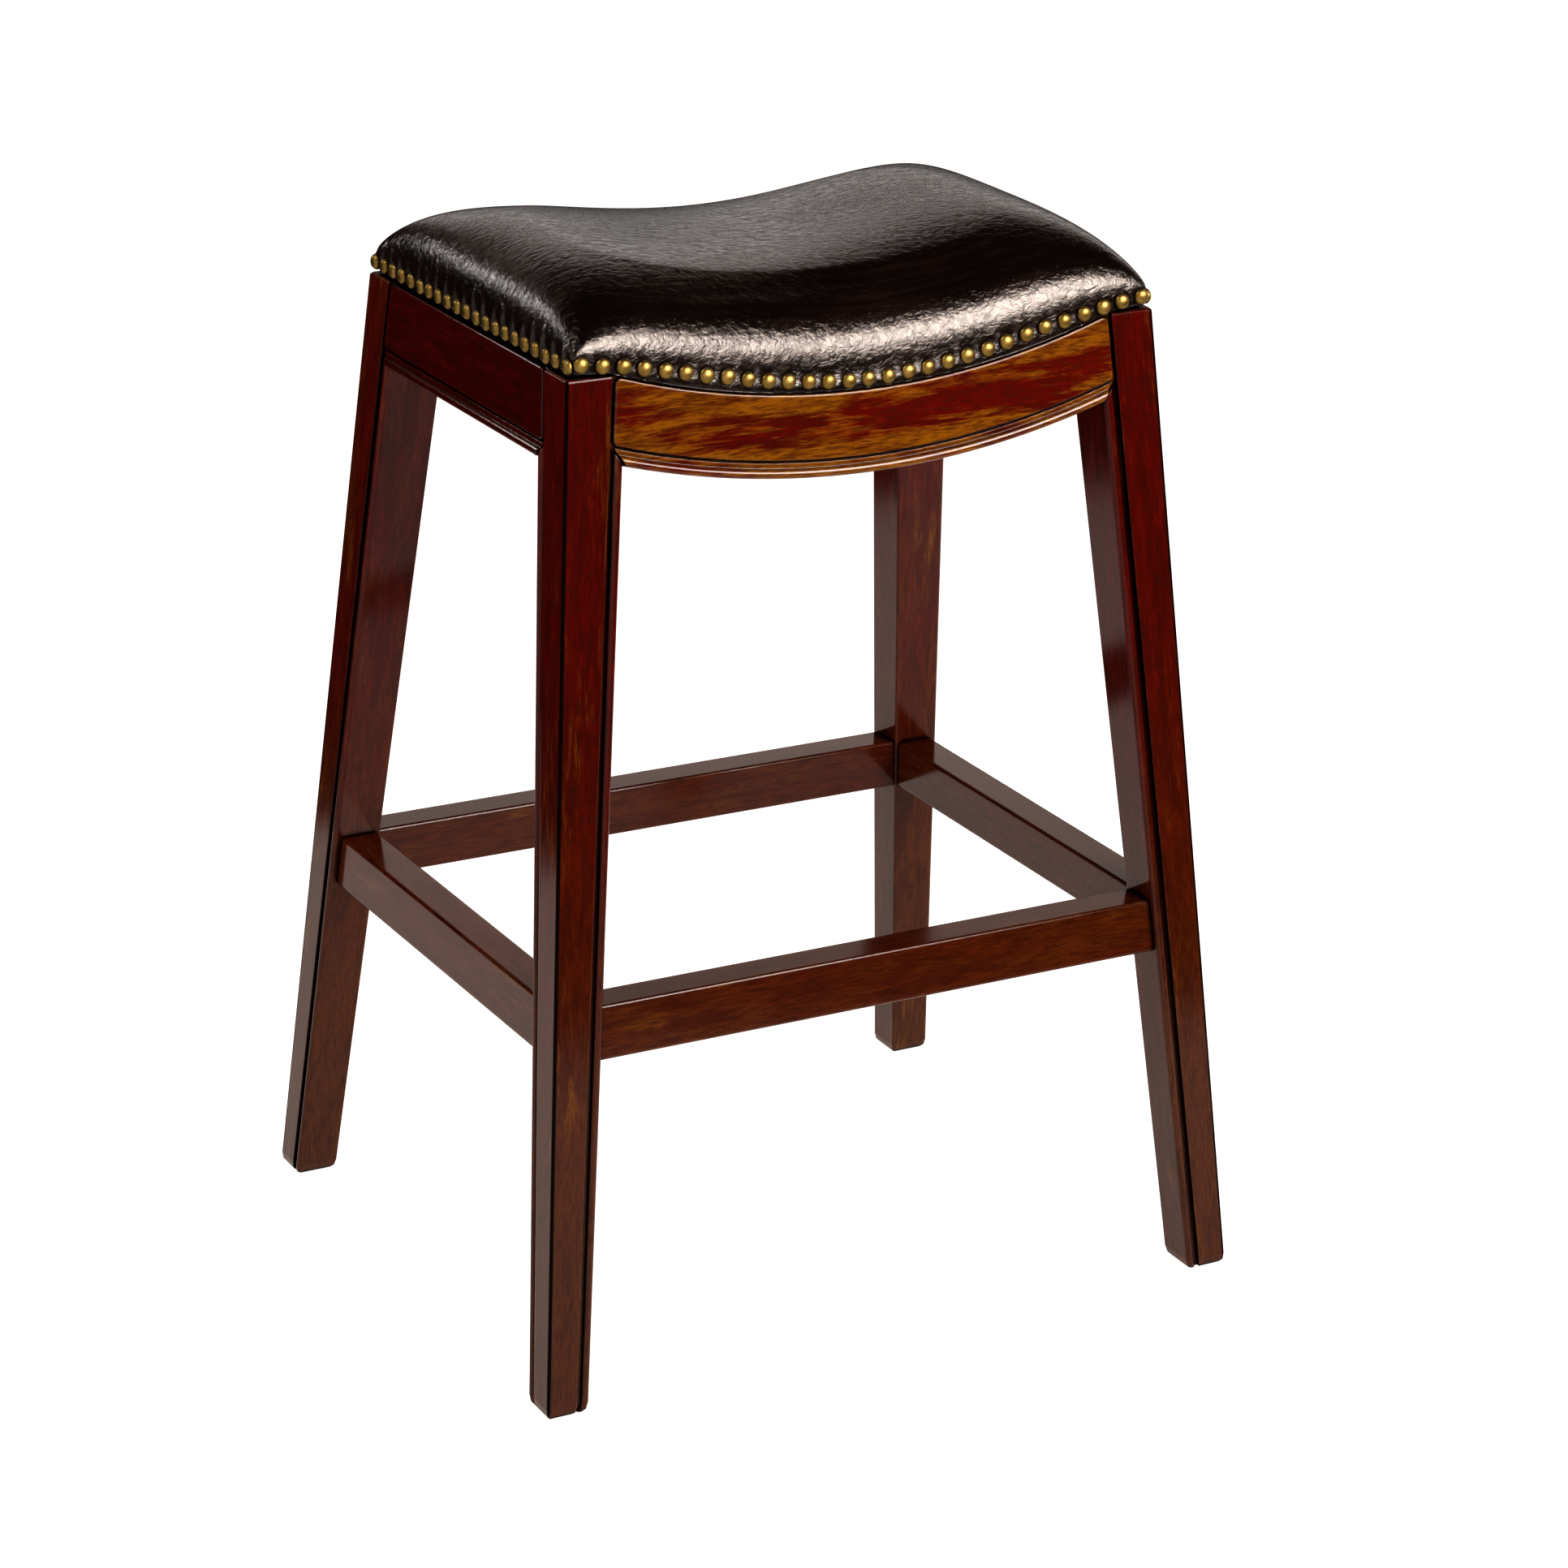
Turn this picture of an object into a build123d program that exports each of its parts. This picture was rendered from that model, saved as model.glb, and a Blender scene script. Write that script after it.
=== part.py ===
from build123d import *
import math
import os

# A bar stool: a saddle-shaped upholstered seat on four splayed, tapered legs.
# Millimetres. X runs along the wide side, the front faces -Y and Z is up.
# The origin is on the floor, midway between the legs. The stool is symmetrical,
# so each part is built at the +X, +Y corner or side and mirrored to the others.

# Leg frame
leg_height = 705.0
foot_span_x = 548.0
foot_span_y = 468.0
top_span_x = 446.0
top_span_y = 315.0

# Leg section, from the floor to the top: a flat, then a groove and a corner bead
leg_foot_width = 31.5
leg_top_width = 44.0
flat_foot_width = 22.0
flat_top_width = 33.0
groove_width = 3.5
leg_ease = 1.2
foot_round = 7.0
foot_round_depth = 2.8
top_ease = 1.6
round_middle_share = 0.3

# Glides under the legs
glide_thickness = 1.2
glide_diameter = 19.0
glide_edge = 0.5
glide_pin_width = 2.6
glide_pin_length = 14.0

# Aprons: a raised panel over a groove, a narrow fascia and a bead
apron_thickness = 20.0
panel_relief = 3.0
panel_set_down = 0.3
panel_ease = 1.5
panel_corner_radius = 4.5
end_channel = 2.5
mitre_gap = 1.4
front_panel_height = 44.5
side_panel_height = 47.7
quirk_height = 1.6
fascia_height = 3.8
fascia_setback = 1.3
bead_diameter = 6.7
bead_proud = 1.5
saddle_dip = 30.6
saddle_radius = 604.0

# Joints of the leg frame
apron_tenon_length = 15.0
apron_tenon_thickness = 8.0
apron_tenon_height = 28.0
apron_tenon_drop = 13.0
apron_tenon_setback = 7.5
stretcher_tenon_length = 10.5
stretcher_tenon_thickness = 10.0
stretcher_tenon_height = 26.0
tenon_root = 6.0
glue_gap = 0.8

# Stretchers
stretcher_top = 282.0
stretcher_height = 38.0
stretcher_thickness = 28.0
stretcher_recess = 6.0
stretcher_ease = 2.0

# Corner blocks and their screws
block_top = 681.0
block_height = 36.0
block_width = 28.0
block_ease = 1.5
block_fit = 0.05
screw_diameter = 4.0
screw_head_diameter = 8.0
screw_head_height = 2.6
screw_sides = 8
screw_fit = 0.15
block_screw_bite = 14.0
block_screw_pocket_fit = 0.8
seat_screw_bite = 12.0

# Seat
seat_length = 439.0
seat_depth = 316.0
seat_corner_radius = 4.0
seat_height = 762.0
cloth_gap = 0.3
dust_cover_thickness = 0.6
dust_cover_lap = 8.0
leather_thickness = 1.2
leather_turn_under = 25.0
board_thickness = 16.0
wall_height = 14.0

# Seat crown: places along the half length, and the crown's height there
# as a share of the rise from the leg tops to the top of the seat
station_shares = (0.0, 0.19, 0.38, 0.555, 0.706, 0.83, 0.923, 0.97, 0.991, 1.0)
crown_shares = (0.737, 0.767, 0.847, 0.939, 1.0, 0.975, 0.846, 0.69, 0.55, 0.42)
roll_share = 0.85

# Decorative nails
nail_head_diameter = 10.8
nail_head_height = 3.3
nail_head_sides = 8
nail_ring_shares = (1.0, 0.6, 0.2)
nail_shank = 1.3
nail_length = 13.0
front_nail_count = 29
side_nail_count = 21
front_nail_span = 426.0
side_nail_span = 305.0
front_nail_rise_middle = 3.8
front_nail_rise_end = 8.8
front_nail_wave_share = 0.6
side_nail_rise = 5.0

# Cutting overrun, longer than any wall it has to clear
overrun = 30.0


def blend(low, high, share):
    return low + (high - low) * share


# Places on the splayed frame at a height above the floor
def corner_x(z):
    return blend(foot_span_x, top_span_x, z / leg_height) / 2


def corner_y(z):
    return blend(foot_span_y, top_span_y, z / leg_height) / 2


def leg_width(z):
    return blend(leg_foot_width, leg_top_width, z / leg_height)


def flat_width(z):
    return blend(flat_foot_width, flat_top_width, z / leg_height)


splay_x = math.atan2((foot_span_x - top_span_x) / 2, leg_height)
splay_y = math.atan2((foot_span_y - top_span_y) / 2, leg_height)
stretcher_middle = stretcher_top - stretcher_height / 2
band_height = quirk_height + fascia_height + bead_diameter
saddle_centre = leg_height - saddle_dip + saddle_radius


# One side of the frame: its plane lies on the legs' outer faces, with the origin at
# the middle of the leg tops, local x along the side, y up the slope and z outward
class Side:
    def __init__(self, outward, tilt, half_span, reach, panel_height, dips):
        across = Vector(outward.Y, -outward.X, 0)
        normal = outward * math.cos(tilt) + Vector(0, 0, 1) * math.sin(tilt)
        self.plane = Plane(Vector(0, 0, leg_height) + outward * reach, -across, normal)
        self.tilt = tilt
        self.half_span = half_span
        self.panel_height = panel_height
        self.dips = dips

    def height(self, rise):
        return leg_height + rise * math.cos(self.tilt)

    def flat_edge(self, rise):
        z = self.height(rise)
        return self.half_span(z) - flat_width(z)

    def leg_edge(self, rise):
        z = self.height(rise)
        return self.half_span(z) - leg_width(z)

    def section_plane(self):
        return Plane(self.plane.origin, self.plane.z_dir, -self.plane.x_dir)


back = Side(Vector(0, 1, 0), splay_y, corner_x, top_span_y / 2, front_panel_height, True)
right = Side(Vector(1, 0, 0), splay_x, corner_y, top_span_x / 2, side_panel_height, False)


# Local height of the saddle curve that lies a depth below the aprons' top edge
def saddle_rise(along, depth):
    centre = saddle_radius - saddle_dip
    return centre - math.sqrt((saddle_radius + depth) ** 2 - along**2)


# Where an apron's panel ends and its moulding turns down the leg
def mitre_points(side):
    panel_foot = side.panel_height
    band_foot = panel_foot + band_height
    if side.dips:
        high_rise = saddle_rise(side.flat_edge(-panel_foot), panel_foot)
        low_rise = saddle_rise(side.leg_edge(high_rise - band_height), band_foot)
    else:
        high_rise = -panel_foot
        low_rise = -band_foot
    return (side.flat_edge(high_rise), high_rise), (side.leg_edge(low_rise), low_rise)


# The part of a side between the legs, above the line where the beads turn the corner
def opening(side, inset, mitre_inset, low, high):
    (high_x, high_rise), (low_x, low_rise) = mitre_points(side)
    slope = (high_rise - low_rise) / (high_x - low_x)
    shift = mitre_inset * math.hypot(1, slope)
    corner_rise = high_rise + shift - slope * inset
    reach = overrun
    half = [
        (side.flat_edge(reach) - inset, reach),
        (high_x - inset, corner_rise),
        (low_x - reach, corner_rise - slope * (high_x - inset - low_x + reach)),
    ]
    outline = half + [(-x, y) for x, y in reversed(half)]
    face = side.plane * make_face(Polyline(*outline, close=True).edges())
    return extrude(face.moved(Location(side.plane.z_dir * low)), high - low, side.plane.z_dir)


# Legs
def quarter(start, end, centre):
    middle = (start + end) / 2 - centre
    radius = (start - centre).length
    return ThreePointArc(start, centre + middle.normalized() * radius, end)


def leg_section(z, inset):
    shrink = 1 - 2 * inset / leg_width(z)
    width = leg_width(z) * shrink
    flat = flat_width(z) * shrink
    groove_end = flat + groove_width * shrink
    bead = (width - groove_end) / 2
    crown = groove_end + bead
    ease = leg_ease * shrink
    corner = Vector(corner_x(z) - inset, corner_y(z) - inset, z)

    def half(place):
        return [
            Line(place(ease, 0), place(flat, 0)),
            Line(place(flat, 0), place(flat, bead)),
            Line(place(flat, bead), place(groove_end, bead)),
            quarter(place(groove_end, bead), place(crown, 0), place(crown, bead)),
            quarter(place(crown, 0), place(width, bead), place(crown, bead)),
            Line(place(width, bead), place(width, width - ease)),
        ]

    edges = half(lambda p, q: corner - Vector(p, q, 0))
    edges += half(lambda p, q: corner - Vector(q, p, 0))
    for start, turn in ((0, ease), (width, width - ease)):
        along_x = corner - Vector(turn, start, 0)
        along_y = corner - Vector(start, turn, 0)
        edges.append(quarter(along_y, along_x, corner - Vector(turn, turn, 0)))
    return Wire(edges)


def leg():
    foot = glide_thickness
    levels = [
        (foot, foot_round_depth),
        (foot + foot_round * round_middle_share, foot_round_depth * round_middle_share),
        (foot + foot_round, 0),
        (leg_height - top_ease, 0),
        (leg_height, top_ease),
    ]
    post = Solid.make_loft([leg_section(z, inset) for z, inset in levels], ruled=True)
    for side in (back, right):
        post -= opening(side, 0, 0, -apron_thickness, overrun)
        post -= apron_tenon(side, apron_tenon_length + glue_gap)
    for along_x in (True, False):
        post -= stretcher_tenon(along_x, stretcher_tenon_length + glue_gap)
    post -= glide_pin(glide_pin_length)
    return post - block_above(0, -overrun)


# Glides: a round pad with a pin driven into the foot
def glide_place():
    inset = leg_width(glide_thickness) / 2
    return Vector(corner_x(glide_thickness) - inset, corner_y(glide_thickness) - inset, 0)


def glide_pin(length):
    middle = glide_place() + Vector(0, 0, glide_thickness + length / 2)
    return Pos(middle) * Box(glide_pin_width, glide_pin_width, length)


def glide():
    pad = Solid.make_cylinder(glide_diameter / 2, glide_thickness, Plane(glide_place()))
    pad = chamfer(pad.edges().group_by(Axis.Z)[0], glide_edge)
    return pad + glide_pin(glide_pin_length)


# Aprons
def apron_tenon(side, length):
    top = -apron_tenon_drop
    bottom = top - apron_tenon_height
    middle = (top + bottom) / 2
    start = side.flat_edge(middle) - tenon_root
    box = Solid.make_box(length + tenon_root, apron_tenon_height, apron_tenon_thickness)
    depth = apron_tenon_setback + apron_tenon_thickness
    ends = [box.moved(Location((start, bottom, -depth)))]
    ends.append(box.moved(Location((-start - length - tenon_root, bottom, -depth))))
    return Compound(side.plane.location * end for end in ends)


def core_section(panel_height):
    core = Rectangle(
        apron_thickness - panel_relief, panel_height + band_height, align=(Align.MAX, Align.MAX)
    )
    return Pos(-panel_relief, 0) * core


def panel_section(panel_height):
    panel = Rectangle(panel_relief, panel_height - panel_set_down, align=(Align.MAX, Align.MAX))
    return Pos(0, -panel_set_down) * panel


def band_section(panel_height):
    fascia_top = -panel_height - quirk_height
    fascia = Pos(-fascia_setback, fascia_top) * Rectangle(
        panel_relief, fascia_height + bead_diameter / 2, align=(Align.MAX, Align.MAX)
    )
    bead_middle = fascia_top - fascia_height - bead_diameter / 2
    bead_x = bead_proud - bead_diameter / 2
    bead = Pos(bead_x, bead_middle) * Circle(bead_diameter / 2)
    web = Pos(bead_x, bead_middle) * Rectangle(
        panel_relief, bead_diameter, align=(Align.MAX, Align.CENTER)
    )
    front = Pos(-panel_relief, 0) * Rectangle(
        panel_relief + bead_proud, panel_height + band_height, align=(Align.MIN, Align.MAX)
    )
    return (fascia + bead + web) & front


def along_saddle(side, section):
    middle = side.section_plane() * Pos(0, -saddle_dip) * section
    pivot = side.plane.from_local_coords(Vector(0, saddle_radius - saddle_dip, 0))
    axis = Axis(pivot, side.plane.z_dir)
    sweep = math.degrees(math.asin((side.flat_edge(0) + overrun) / saddle_radius))
    return revolve(middle.rotate(axis, -sweep), axis, 2 * sweep)


def along_straight(side, section):
    reach = side.flat_edge(0) + overrun
    return extrude(side.section_plane() * section, reach, both=True)


# The raised panel has rounded corners and an eased edge all round
def apron_panel(side, follow):
    panel = follow(side, panel_section(side.panel_height))
    panel &= opening(side, end_channel, mitre_gap, -panel_relief, 0)
    outward = Axis(side.plane.origin, side.plane.z_dir)
    panel = fillet(panel.edges().filter_by(outward), panel_corner_radius)
    return fillet(panel.faces().sort_by(outward)[-1].edges(), panel_ease)


def apron(side):
    follow = along_saddle if side.dips else along_straight
    core = follow(side, core_section(side.panel_height))
    core &= opening(side, 0, 0, -apron_thickness, 0)
    band = follow(side, band_section(side.panel_height))
    band &= opening(side, end_channel, mitre_gap, -panel_relief, overrun)
    rail = core + apron_panel(side, follow) + band + apron_tenon(side, apron_tenon_length)
    hole = block_screw(side, screw_hole)
    return rail - [hole, hole.mirror(Plane.YZ if side is back else Plane.XZ)]


# Stretchers: level bars whose side faces follow the splay of the legs
def stretcher_tenon(along_x, length):
    reach, across = (corner_x, corner_y) if along_x else (corner_y, corner_x)
    z = stretcher_middle
    start = reach(z) - leg_width(z) - tenon_root
    depth = across(z) - stretcher_recess - stretcher_thickness / 2
    size = (length + tenon_root, stretcher_tenon_thickness)
    place = (start + size[0] / 2, depth)
    if not along_x:
        size = size[::-1]
        place = place[::-1]
    return Pos(*place, z) * Box(*size, stretcher_tenon_height)


def stretcher(along_x):
    reach, across = (corner_x, corner_y) if along_x else (corner_y, corner_x)
    low, high = stretcher_top - stretcher_height, stretcher_top
    section = [
        (across(low) - stretcher_recess, low),
        (across(high) - stretcher_recess, high),
        (across(high) - stretcher_recess - stretcher_thickness, high),
        (across(low) - stretcher_recess - stretcher_thickness, low),
    ]
    front = [(reach(z) - leg_width(z), z) for z in (low - overrun, high + overrun)]
    outline = front + [(-x, z) for x, z in reversed(front)]
    end_plane, long_plane = (Plane.YZ, Plane.XZ) if along_x else (Plane.XZ, Plane.YZ)
    profile = make_face(Polyline(*section, close=True).edges())
    profile = fillet(profile.vertices(), stretcher_ease)
    side_view = make_face(Polyline(*outline, close=True).edges())
    bar = extrude(end_plane * profile, reach(low), both=True)
    bar &= extrude(long_plane * side_view, across(0), both=True)
    tenon = stretcher_tenon(along_x, stretcher_tenon_length)
    return bar + tenon + tenon.mirror(Plane.YZ if along_x else Plane.XZ)


# Corner blocks and their screws
def block_inside(z):
    inside_x = corner_x(z) - apron_thickness / math.cos(splay_x) - block_fit
    inside_y = corner_y(z) - apron_thickness / math.cos(splay_y) - block_fit
    outer = corner_x(z) + corner_y(z) - 2 * leg_width(z)
    inner = outer - block_width * math.sqrt(2)
    return inside_x, inside_y, outer, inner


def block_outline(z):
    inside_x, inside_y, outer, inner = block_inside(z)
    points = [
        (inside_x, outer - inside_x),
        (outer - inside_y, inside_y),
        (inner - inside_y, inside_y),
        (inside_x, inner - inside_x),
    ]
    return Wire(Polyline(*[(x, y, z) for x, y in points], close=True).edges())


def corner_block():
    bottom = block_top - block_height
    block = Solid.make_loft([block_outline(bottom), block_outline(block_top)], ruled=True)
    upright = block.edges().filter_by(lambda edge: edge.bounding_box().size.Z > block_height / 2)
    inner_pair = upright.sort_by(lambda edge: edge.center().X + edge.center().Y)[:2]
    block = chamfer(inner_pair, block_ease)
    for side in (back, right):
        block -= block_screw(side, sunk_screw_hole)
    return block - seat_screw(screw_hole)


# A many-sided rod along local z, which keeps the faces of small fasteners few
def rod(radius, low, high):
    return Pos(0, 0, low) * extrude(RegularPolygon(radius, screw_sides), high - low)


def screw_hole(length):
    return rod(screw_diameter / 2 + screw_fit, -screw_head_height, length + screw_fit)


def wood_screw(length):
    head = rod(screw_head_diameter / 2, -screw_head_height, 0)
    return head + rod(screw_diameter / 2, 0, length)


def sunk_screw_hole(length):
    pocket_radius = screw_head_diameter / 2 + block_screw_pocket_fit
    return screw_hole(length) + rod(pocket_radius, -overrun, 0)


# A screw from the block into an apron, square to the apron, at the middle of the block's end
def block_screw(side, shape):
    z = block_top - block_height / 2
    inside_x, inside_y, outer, inner = block_inside(z)
    middle = (outer + inner) / 2
    point = Vector(inside_x, middle - inside_x, z)
    if side is back:
        point = Vector(middle - inside_y, inside_y, z)
    grip = block_width / math.sqrt(2) - screw_head_diameter / 2 - block_screw_pocket_fit
    start = point - side.plane.z_dir * grip
    place = Plane(start, side.plane.x_dir, side.plane.z_dir).location
    return place * shape(grip + block_screw_bite)


# A screw up through the block into the seat board
def seat_screw(shape):
    z = block_top - block_height
    inside = leg_width(block_top) + block_width * math.sqrt(2) / 4
    x = corner_x(block_top) - inside
    y = corner_y(block_top) - inside
    length = saddle_level(x, board_level) - z + seat_screw_bite
    return Pos(x, y, z) * shape(length)


# Seat layers follow the saddle: each level is a distance above the leg frame's top
dust_level = cloth_gap
lip_level = dust_level + dust_cover_thickness + cloth_gap
board_level = lip_level + leather_thickness + cloth_gap
skin = leather_thickness + cloth_gap


def saddle_turn(level):
    radius = saddle_radius - level
    return math.sqrt(radius**2 - (saddle_centre - leg_height - level) ** 2)


def saddle_level(x, level):
    if abs(x) >= saddle_turn(level):
        return leg_height + level
    return saddle_centre - math.sqrt((saddle_radius - level) ** 2 - x**2)


# The line that a level makes along the seat: flat over the legs, dipping between them
def saddle_line(level, inset):
    half_length = seat_length / 2 - inset
    turn = saddle_turn(level)
    z = leg_height + level
    return [
        Line((-half_length, z), (-turn, z)),
        ThreePointArc((-turn, z), (0, saddle_level(0, level)), (turn, z)),
        Line((turn, z), (half_length, z)),
    ]


# A block of the seat between two lines, with rounded upright corners
def seat_block(lower, upper, inset):
    edges = lower + upper
    edges.append(Line(lower[0] @ 0, upper[0] @ 0))
    edges.append(Line(lower[-1] @ 1, upper[-1] @ 1))
    block = extrude(Plane.XZ * make_face(edges), seat_depth / 2 - inset, both=True)
    corner = max(seat_corner_radius - inset, leather_thickness)
    return fillet(block.edges().filter_by(Axis.Z), corner)


def saddle_slab(low, high, inset):
    return seat_block(saddle_line(low, inset), saddle_line(high, inset), inset)


def block_above(level, inset):
    half_length = seat_length / 2 - inset
    top = seat_height + overrun
    return seat_block(saddle_line(level, inset), [Line((-half_length, top), (half_length, top))], inset)


# The crowned form of the seat, drawn through sections across its length
def crown_section(x, crown_height, inset):
    half_depth = seat_depth / 2 - inset
    wall_top = saddle_level(x, board_level) + wall_height
    base = saddle_level(0, 0) - overrun
    rise = crown_height - wall_top
    roll = min(rise, half_depth) * roll_share
    reach = half_depth - roll
    crown_radius = (reach**2 + rise**2 - roll**2) / (2 * (rise - roll))
    angle = math.asin(reach / (crown_radius - roll))
    meet_y = reach + roll * math.sin(angle)
    meet_z = wall_top + roll * math.cos(angle)
    half_angle = (angle + math.pi / 2) / 2
    middle_y = reach + roll * math.sin(half_angle)
    middle_z = wall_top + roll * math.cos(half_angle)
    edges = [
        Line((x, -half_depth, base), (x, half_depth, base)),
        Line((x, half_depth, base), (x, half_depth, wall_top)),
        ThreePointArc((x, half_depth, wall_top), (x, middle_y, middle_z), (x, meet_y, meet_z)),
        ThreePointArc((x, meet_y, meet_z), (x, 0, crown_height), (x, -meet_y, meet_z)),
        ThreePointArc((x, -meet_y, meet_z), (x, -middle_y, middle_z), (x, -half_depth, wall_top)),
        Line((x, -half_depth, wall_top), (x, -half_depth, base)),
    ]
    return Wire(edges)


def crown_form(inset):
    half_length = seat_length / 2 - inset
    rise = seat_height - leg_height
    sections = []
    for share, crown in zip(station_shares, crown_shares):
        sections.append((share * half_length, leg_height + rise * crown - inset))
    mirrored = [(-x, z) for x, z in reversed(sections[1:])]
    return Solid.make_loft([crown_section(x, z, inset) for x, z in mirrored + sections])


def seat_form(level, inset):
    form = crown_form(inset) & block_above(level, inset)
    return form.solids().sort_by(SortBy.VOLUME)[-1]


def seat_board():
    board = seat_form(board_level, skin) - block_above(board_level + board_thickness, -overrun)
    return board - four_corners(seat_screw(screw_hole)) - nail_shanks()


def foam_pad():
    return seat_form(board_level + board_thickness + cloth_gap, skin)


# The leather: a skin over the foam and the board's edge, turned under the board
def leather_cover():
    cover = seat_form(lip_level, 0) - seat_form(board_level - cloth_gap, leather_thickness)
    cover -= saddle_slab(lip_level - overrun, board_level, leather_turn_under)
    return cover - nail_shanks()


# The dust cover laps over the turned-under edge of the leather
def dust_cover():
    inset = leather_turn_under - dust_cover_lap
    sheet = saddle_slab(dust_level, dust_level + dust_cover_thickness, inset)
    return sheet - four_corners(seat_screw(screw_hole))


# Decorative nails, set square to the seat's walls
def nail_places(front):
    count = front_nail_count if front else side_nail_count
    span = front_nail_span if front else side_nail_span
    places = []
    for index in range(count):
        along = span * (index / (count - 1) - 1 / 2)
        if front:
            share = math.sin(math.pi / 2 * along / (span * front_nail_wave_share)) ** 2
            rise = blend(front_nail_rise_middle - saddle_dip, front_nail_rise_end, share)
            point = Vector(along, seat_depth / 2, leg_height + board_level + rise)
        else:
            point = Vector(seat_length / 2, along, leg_height + board_level + side_nail_rise)
        outward = Vector(0, 1, 0) if front else Vector(1, 0, 0)
        places.append(Plane(point, Vector(0, 0, 1), outward).location)
    return places


def nail_shank_box():
    return Pos(0, 0, -nail_length / 2) * Box(nail_shank, nail_shank, nail_length)


# The domed head is drawn through rings that lie on a ball
def nail():
    half = nail_head_diameter / 2
    radius = (half**2 + nail_head_height**2) / (2 * nail_head_height)
    rings = []
    for share in nail_ring_shares:
        turn = math.asin(half / radius) * share
        z = nail_head_height - radius * (1 - math.cos(turn))
        rings.append((Pos(0, 0, z) * RegularPolygon(radius * math.sin(turn), nail_head_sides)).wire())
    return Solid.make_loft(rings, ruled=True) + nail_shank_box()


def nail_row(front, piece):
    return [place * piece for place in nail_places(front)]


def nail_shanks():
    shank = nail_shank_box()
    shanks = []
    for front in (True, False):
        row = nail_row(front, shank)
        shanks += row + [one.mirror(Plane.XZ if front else Plane.YZ) for one in row]
    return shanks


# Copies of what is built at the +X, +Y corner
def four_corners(shape):
    pair = [shape, shape.mirror(Plane.XZ)]
    return pair + [one.mirror(Plane.YZ) for one in pair]


def save(shape, name):
    export_step(shape, f"parts/{name}.step")


def save_corners(shape, name):
    labels = ("back_right", "front_right", "back_left", "front_left")
    for label, one in zip(labels, four_corners(shape)):
        save(one, f"{name}_{label}")


def save_sides(front_shape, side_shape, name):
    save(front_shape, f"{name}_back")
    save(front_shape.mirror(Plane.XZ), f"{name}_front")
    save(side_shape, f"{name}_right")
    save(side_shape.mirror(Plane.YZ), f"{name}_left")


def save_nails():
    front_row = Compound(nail_row(True, nail()))
    side_row = Compound(nail_row(False, nail()))
    save_sides(front_row, side_row, "nails")


os.makedirs("parts", exist_ok=True)
save_corners(leg(), "leg")
save_corners(glide(), "glide")
save_sides(apron(back), apron(right), "apron")
save_sides(stretcher(True), stretcher(False), "stretcher")
save_corners(corner_block(), "corner_block")
block_pair = [block_screw(side, wood_screw) for side in (back, right)]
save(Compound(copy for screw in block_pair for copy in four_corners(screw)), "corner_block_screws")
save(Compound(four_corners(seat_screw(wood_screw))), "seat_screws")
save(seat_board(), "seat_board")
save(foam_pad(), "foam_pad")
save(leather_cover(), "leather_cover")
save(dust_cover(), "dust_cover")
save_nails()
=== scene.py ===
import math

import bmesh
import bpy
import numpy as np
from bpy.props import BoolProperty, FloatProperty, FloatVectorProperty, IntProperty, PointerProperty
from mathutils import Matrix, Vector


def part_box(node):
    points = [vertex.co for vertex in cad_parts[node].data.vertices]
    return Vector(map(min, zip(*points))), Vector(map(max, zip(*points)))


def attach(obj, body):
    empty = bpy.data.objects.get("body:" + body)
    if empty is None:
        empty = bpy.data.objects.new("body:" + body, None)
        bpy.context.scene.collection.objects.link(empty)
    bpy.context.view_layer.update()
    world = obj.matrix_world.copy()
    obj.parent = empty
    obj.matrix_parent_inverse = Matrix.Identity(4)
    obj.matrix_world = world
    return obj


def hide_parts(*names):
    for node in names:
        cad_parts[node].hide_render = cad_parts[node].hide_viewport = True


bl_info = {
    "name": "Saddle Bar Stool",
    "version": (1, 0, 0),
    "blender": (4, 5, 0),
    "location": "View3D > Sidebar > Stool",
    "description": "Dresses the packed bar stool: stained wood, leather seat and brass nails",
    "category": "Object",
}

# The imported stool, in metres: X along its wide side, the front faces -Y, Z up
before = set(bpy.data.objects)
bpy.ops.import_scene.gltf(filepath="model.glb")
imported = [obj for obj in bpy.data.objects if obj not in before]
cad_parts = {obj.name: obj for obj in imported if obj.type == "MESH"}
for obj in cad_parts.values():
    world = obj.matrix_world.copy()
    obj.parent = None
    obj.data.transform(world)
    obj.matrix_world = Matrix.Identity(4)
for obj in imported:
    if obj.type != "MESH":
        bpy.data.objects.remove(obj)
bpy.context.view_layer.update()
BODY = "root"
seat_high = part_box("leather_cover")[1]
leg_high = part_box("leg_front_left")[1]

MM = 0.001
QUARTER = math.pi / 2

# Saddle lines of the leg frame that the seat sits on
LEG_HEIGHT = leg_high.z
SADDLE_DIP = 30.6 * MM
SADDLE_RADIUS = 604 * MM
DUST_LEVEL = 0.3 * MM
LIP_LEVEL = 1.2 * MM
BOARD_LEVEL = 2.7 * MM
BOARD_THICKNESS = 16 * MM

# Splay of the legs: outer spans of the frame at the floor and at the leg tops
FOOT_SPAN = (548 * MM, 468 * MM)
TOP_SPAN = (446 * MM, 315 * MM)

# Form of the upholstery, as a rim line with a crown over it
RIM_END_HEIGHT = 719.5 * MM
RIM_DIP = 45.5 * MM
CROWN_END_RISE = 110.8 * MM
CROWN_MIDDLE_LOSS = 37.9 * MM
CROWN_POWER = 3.22
CORNER_RADIUS = 4 * MM
TURN_UNDER = 25 * MM

# Length of the crown's surface from its middle to an end, and to the front
CROWN_RUN = (280 * MM, 231 * MM)

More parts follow.
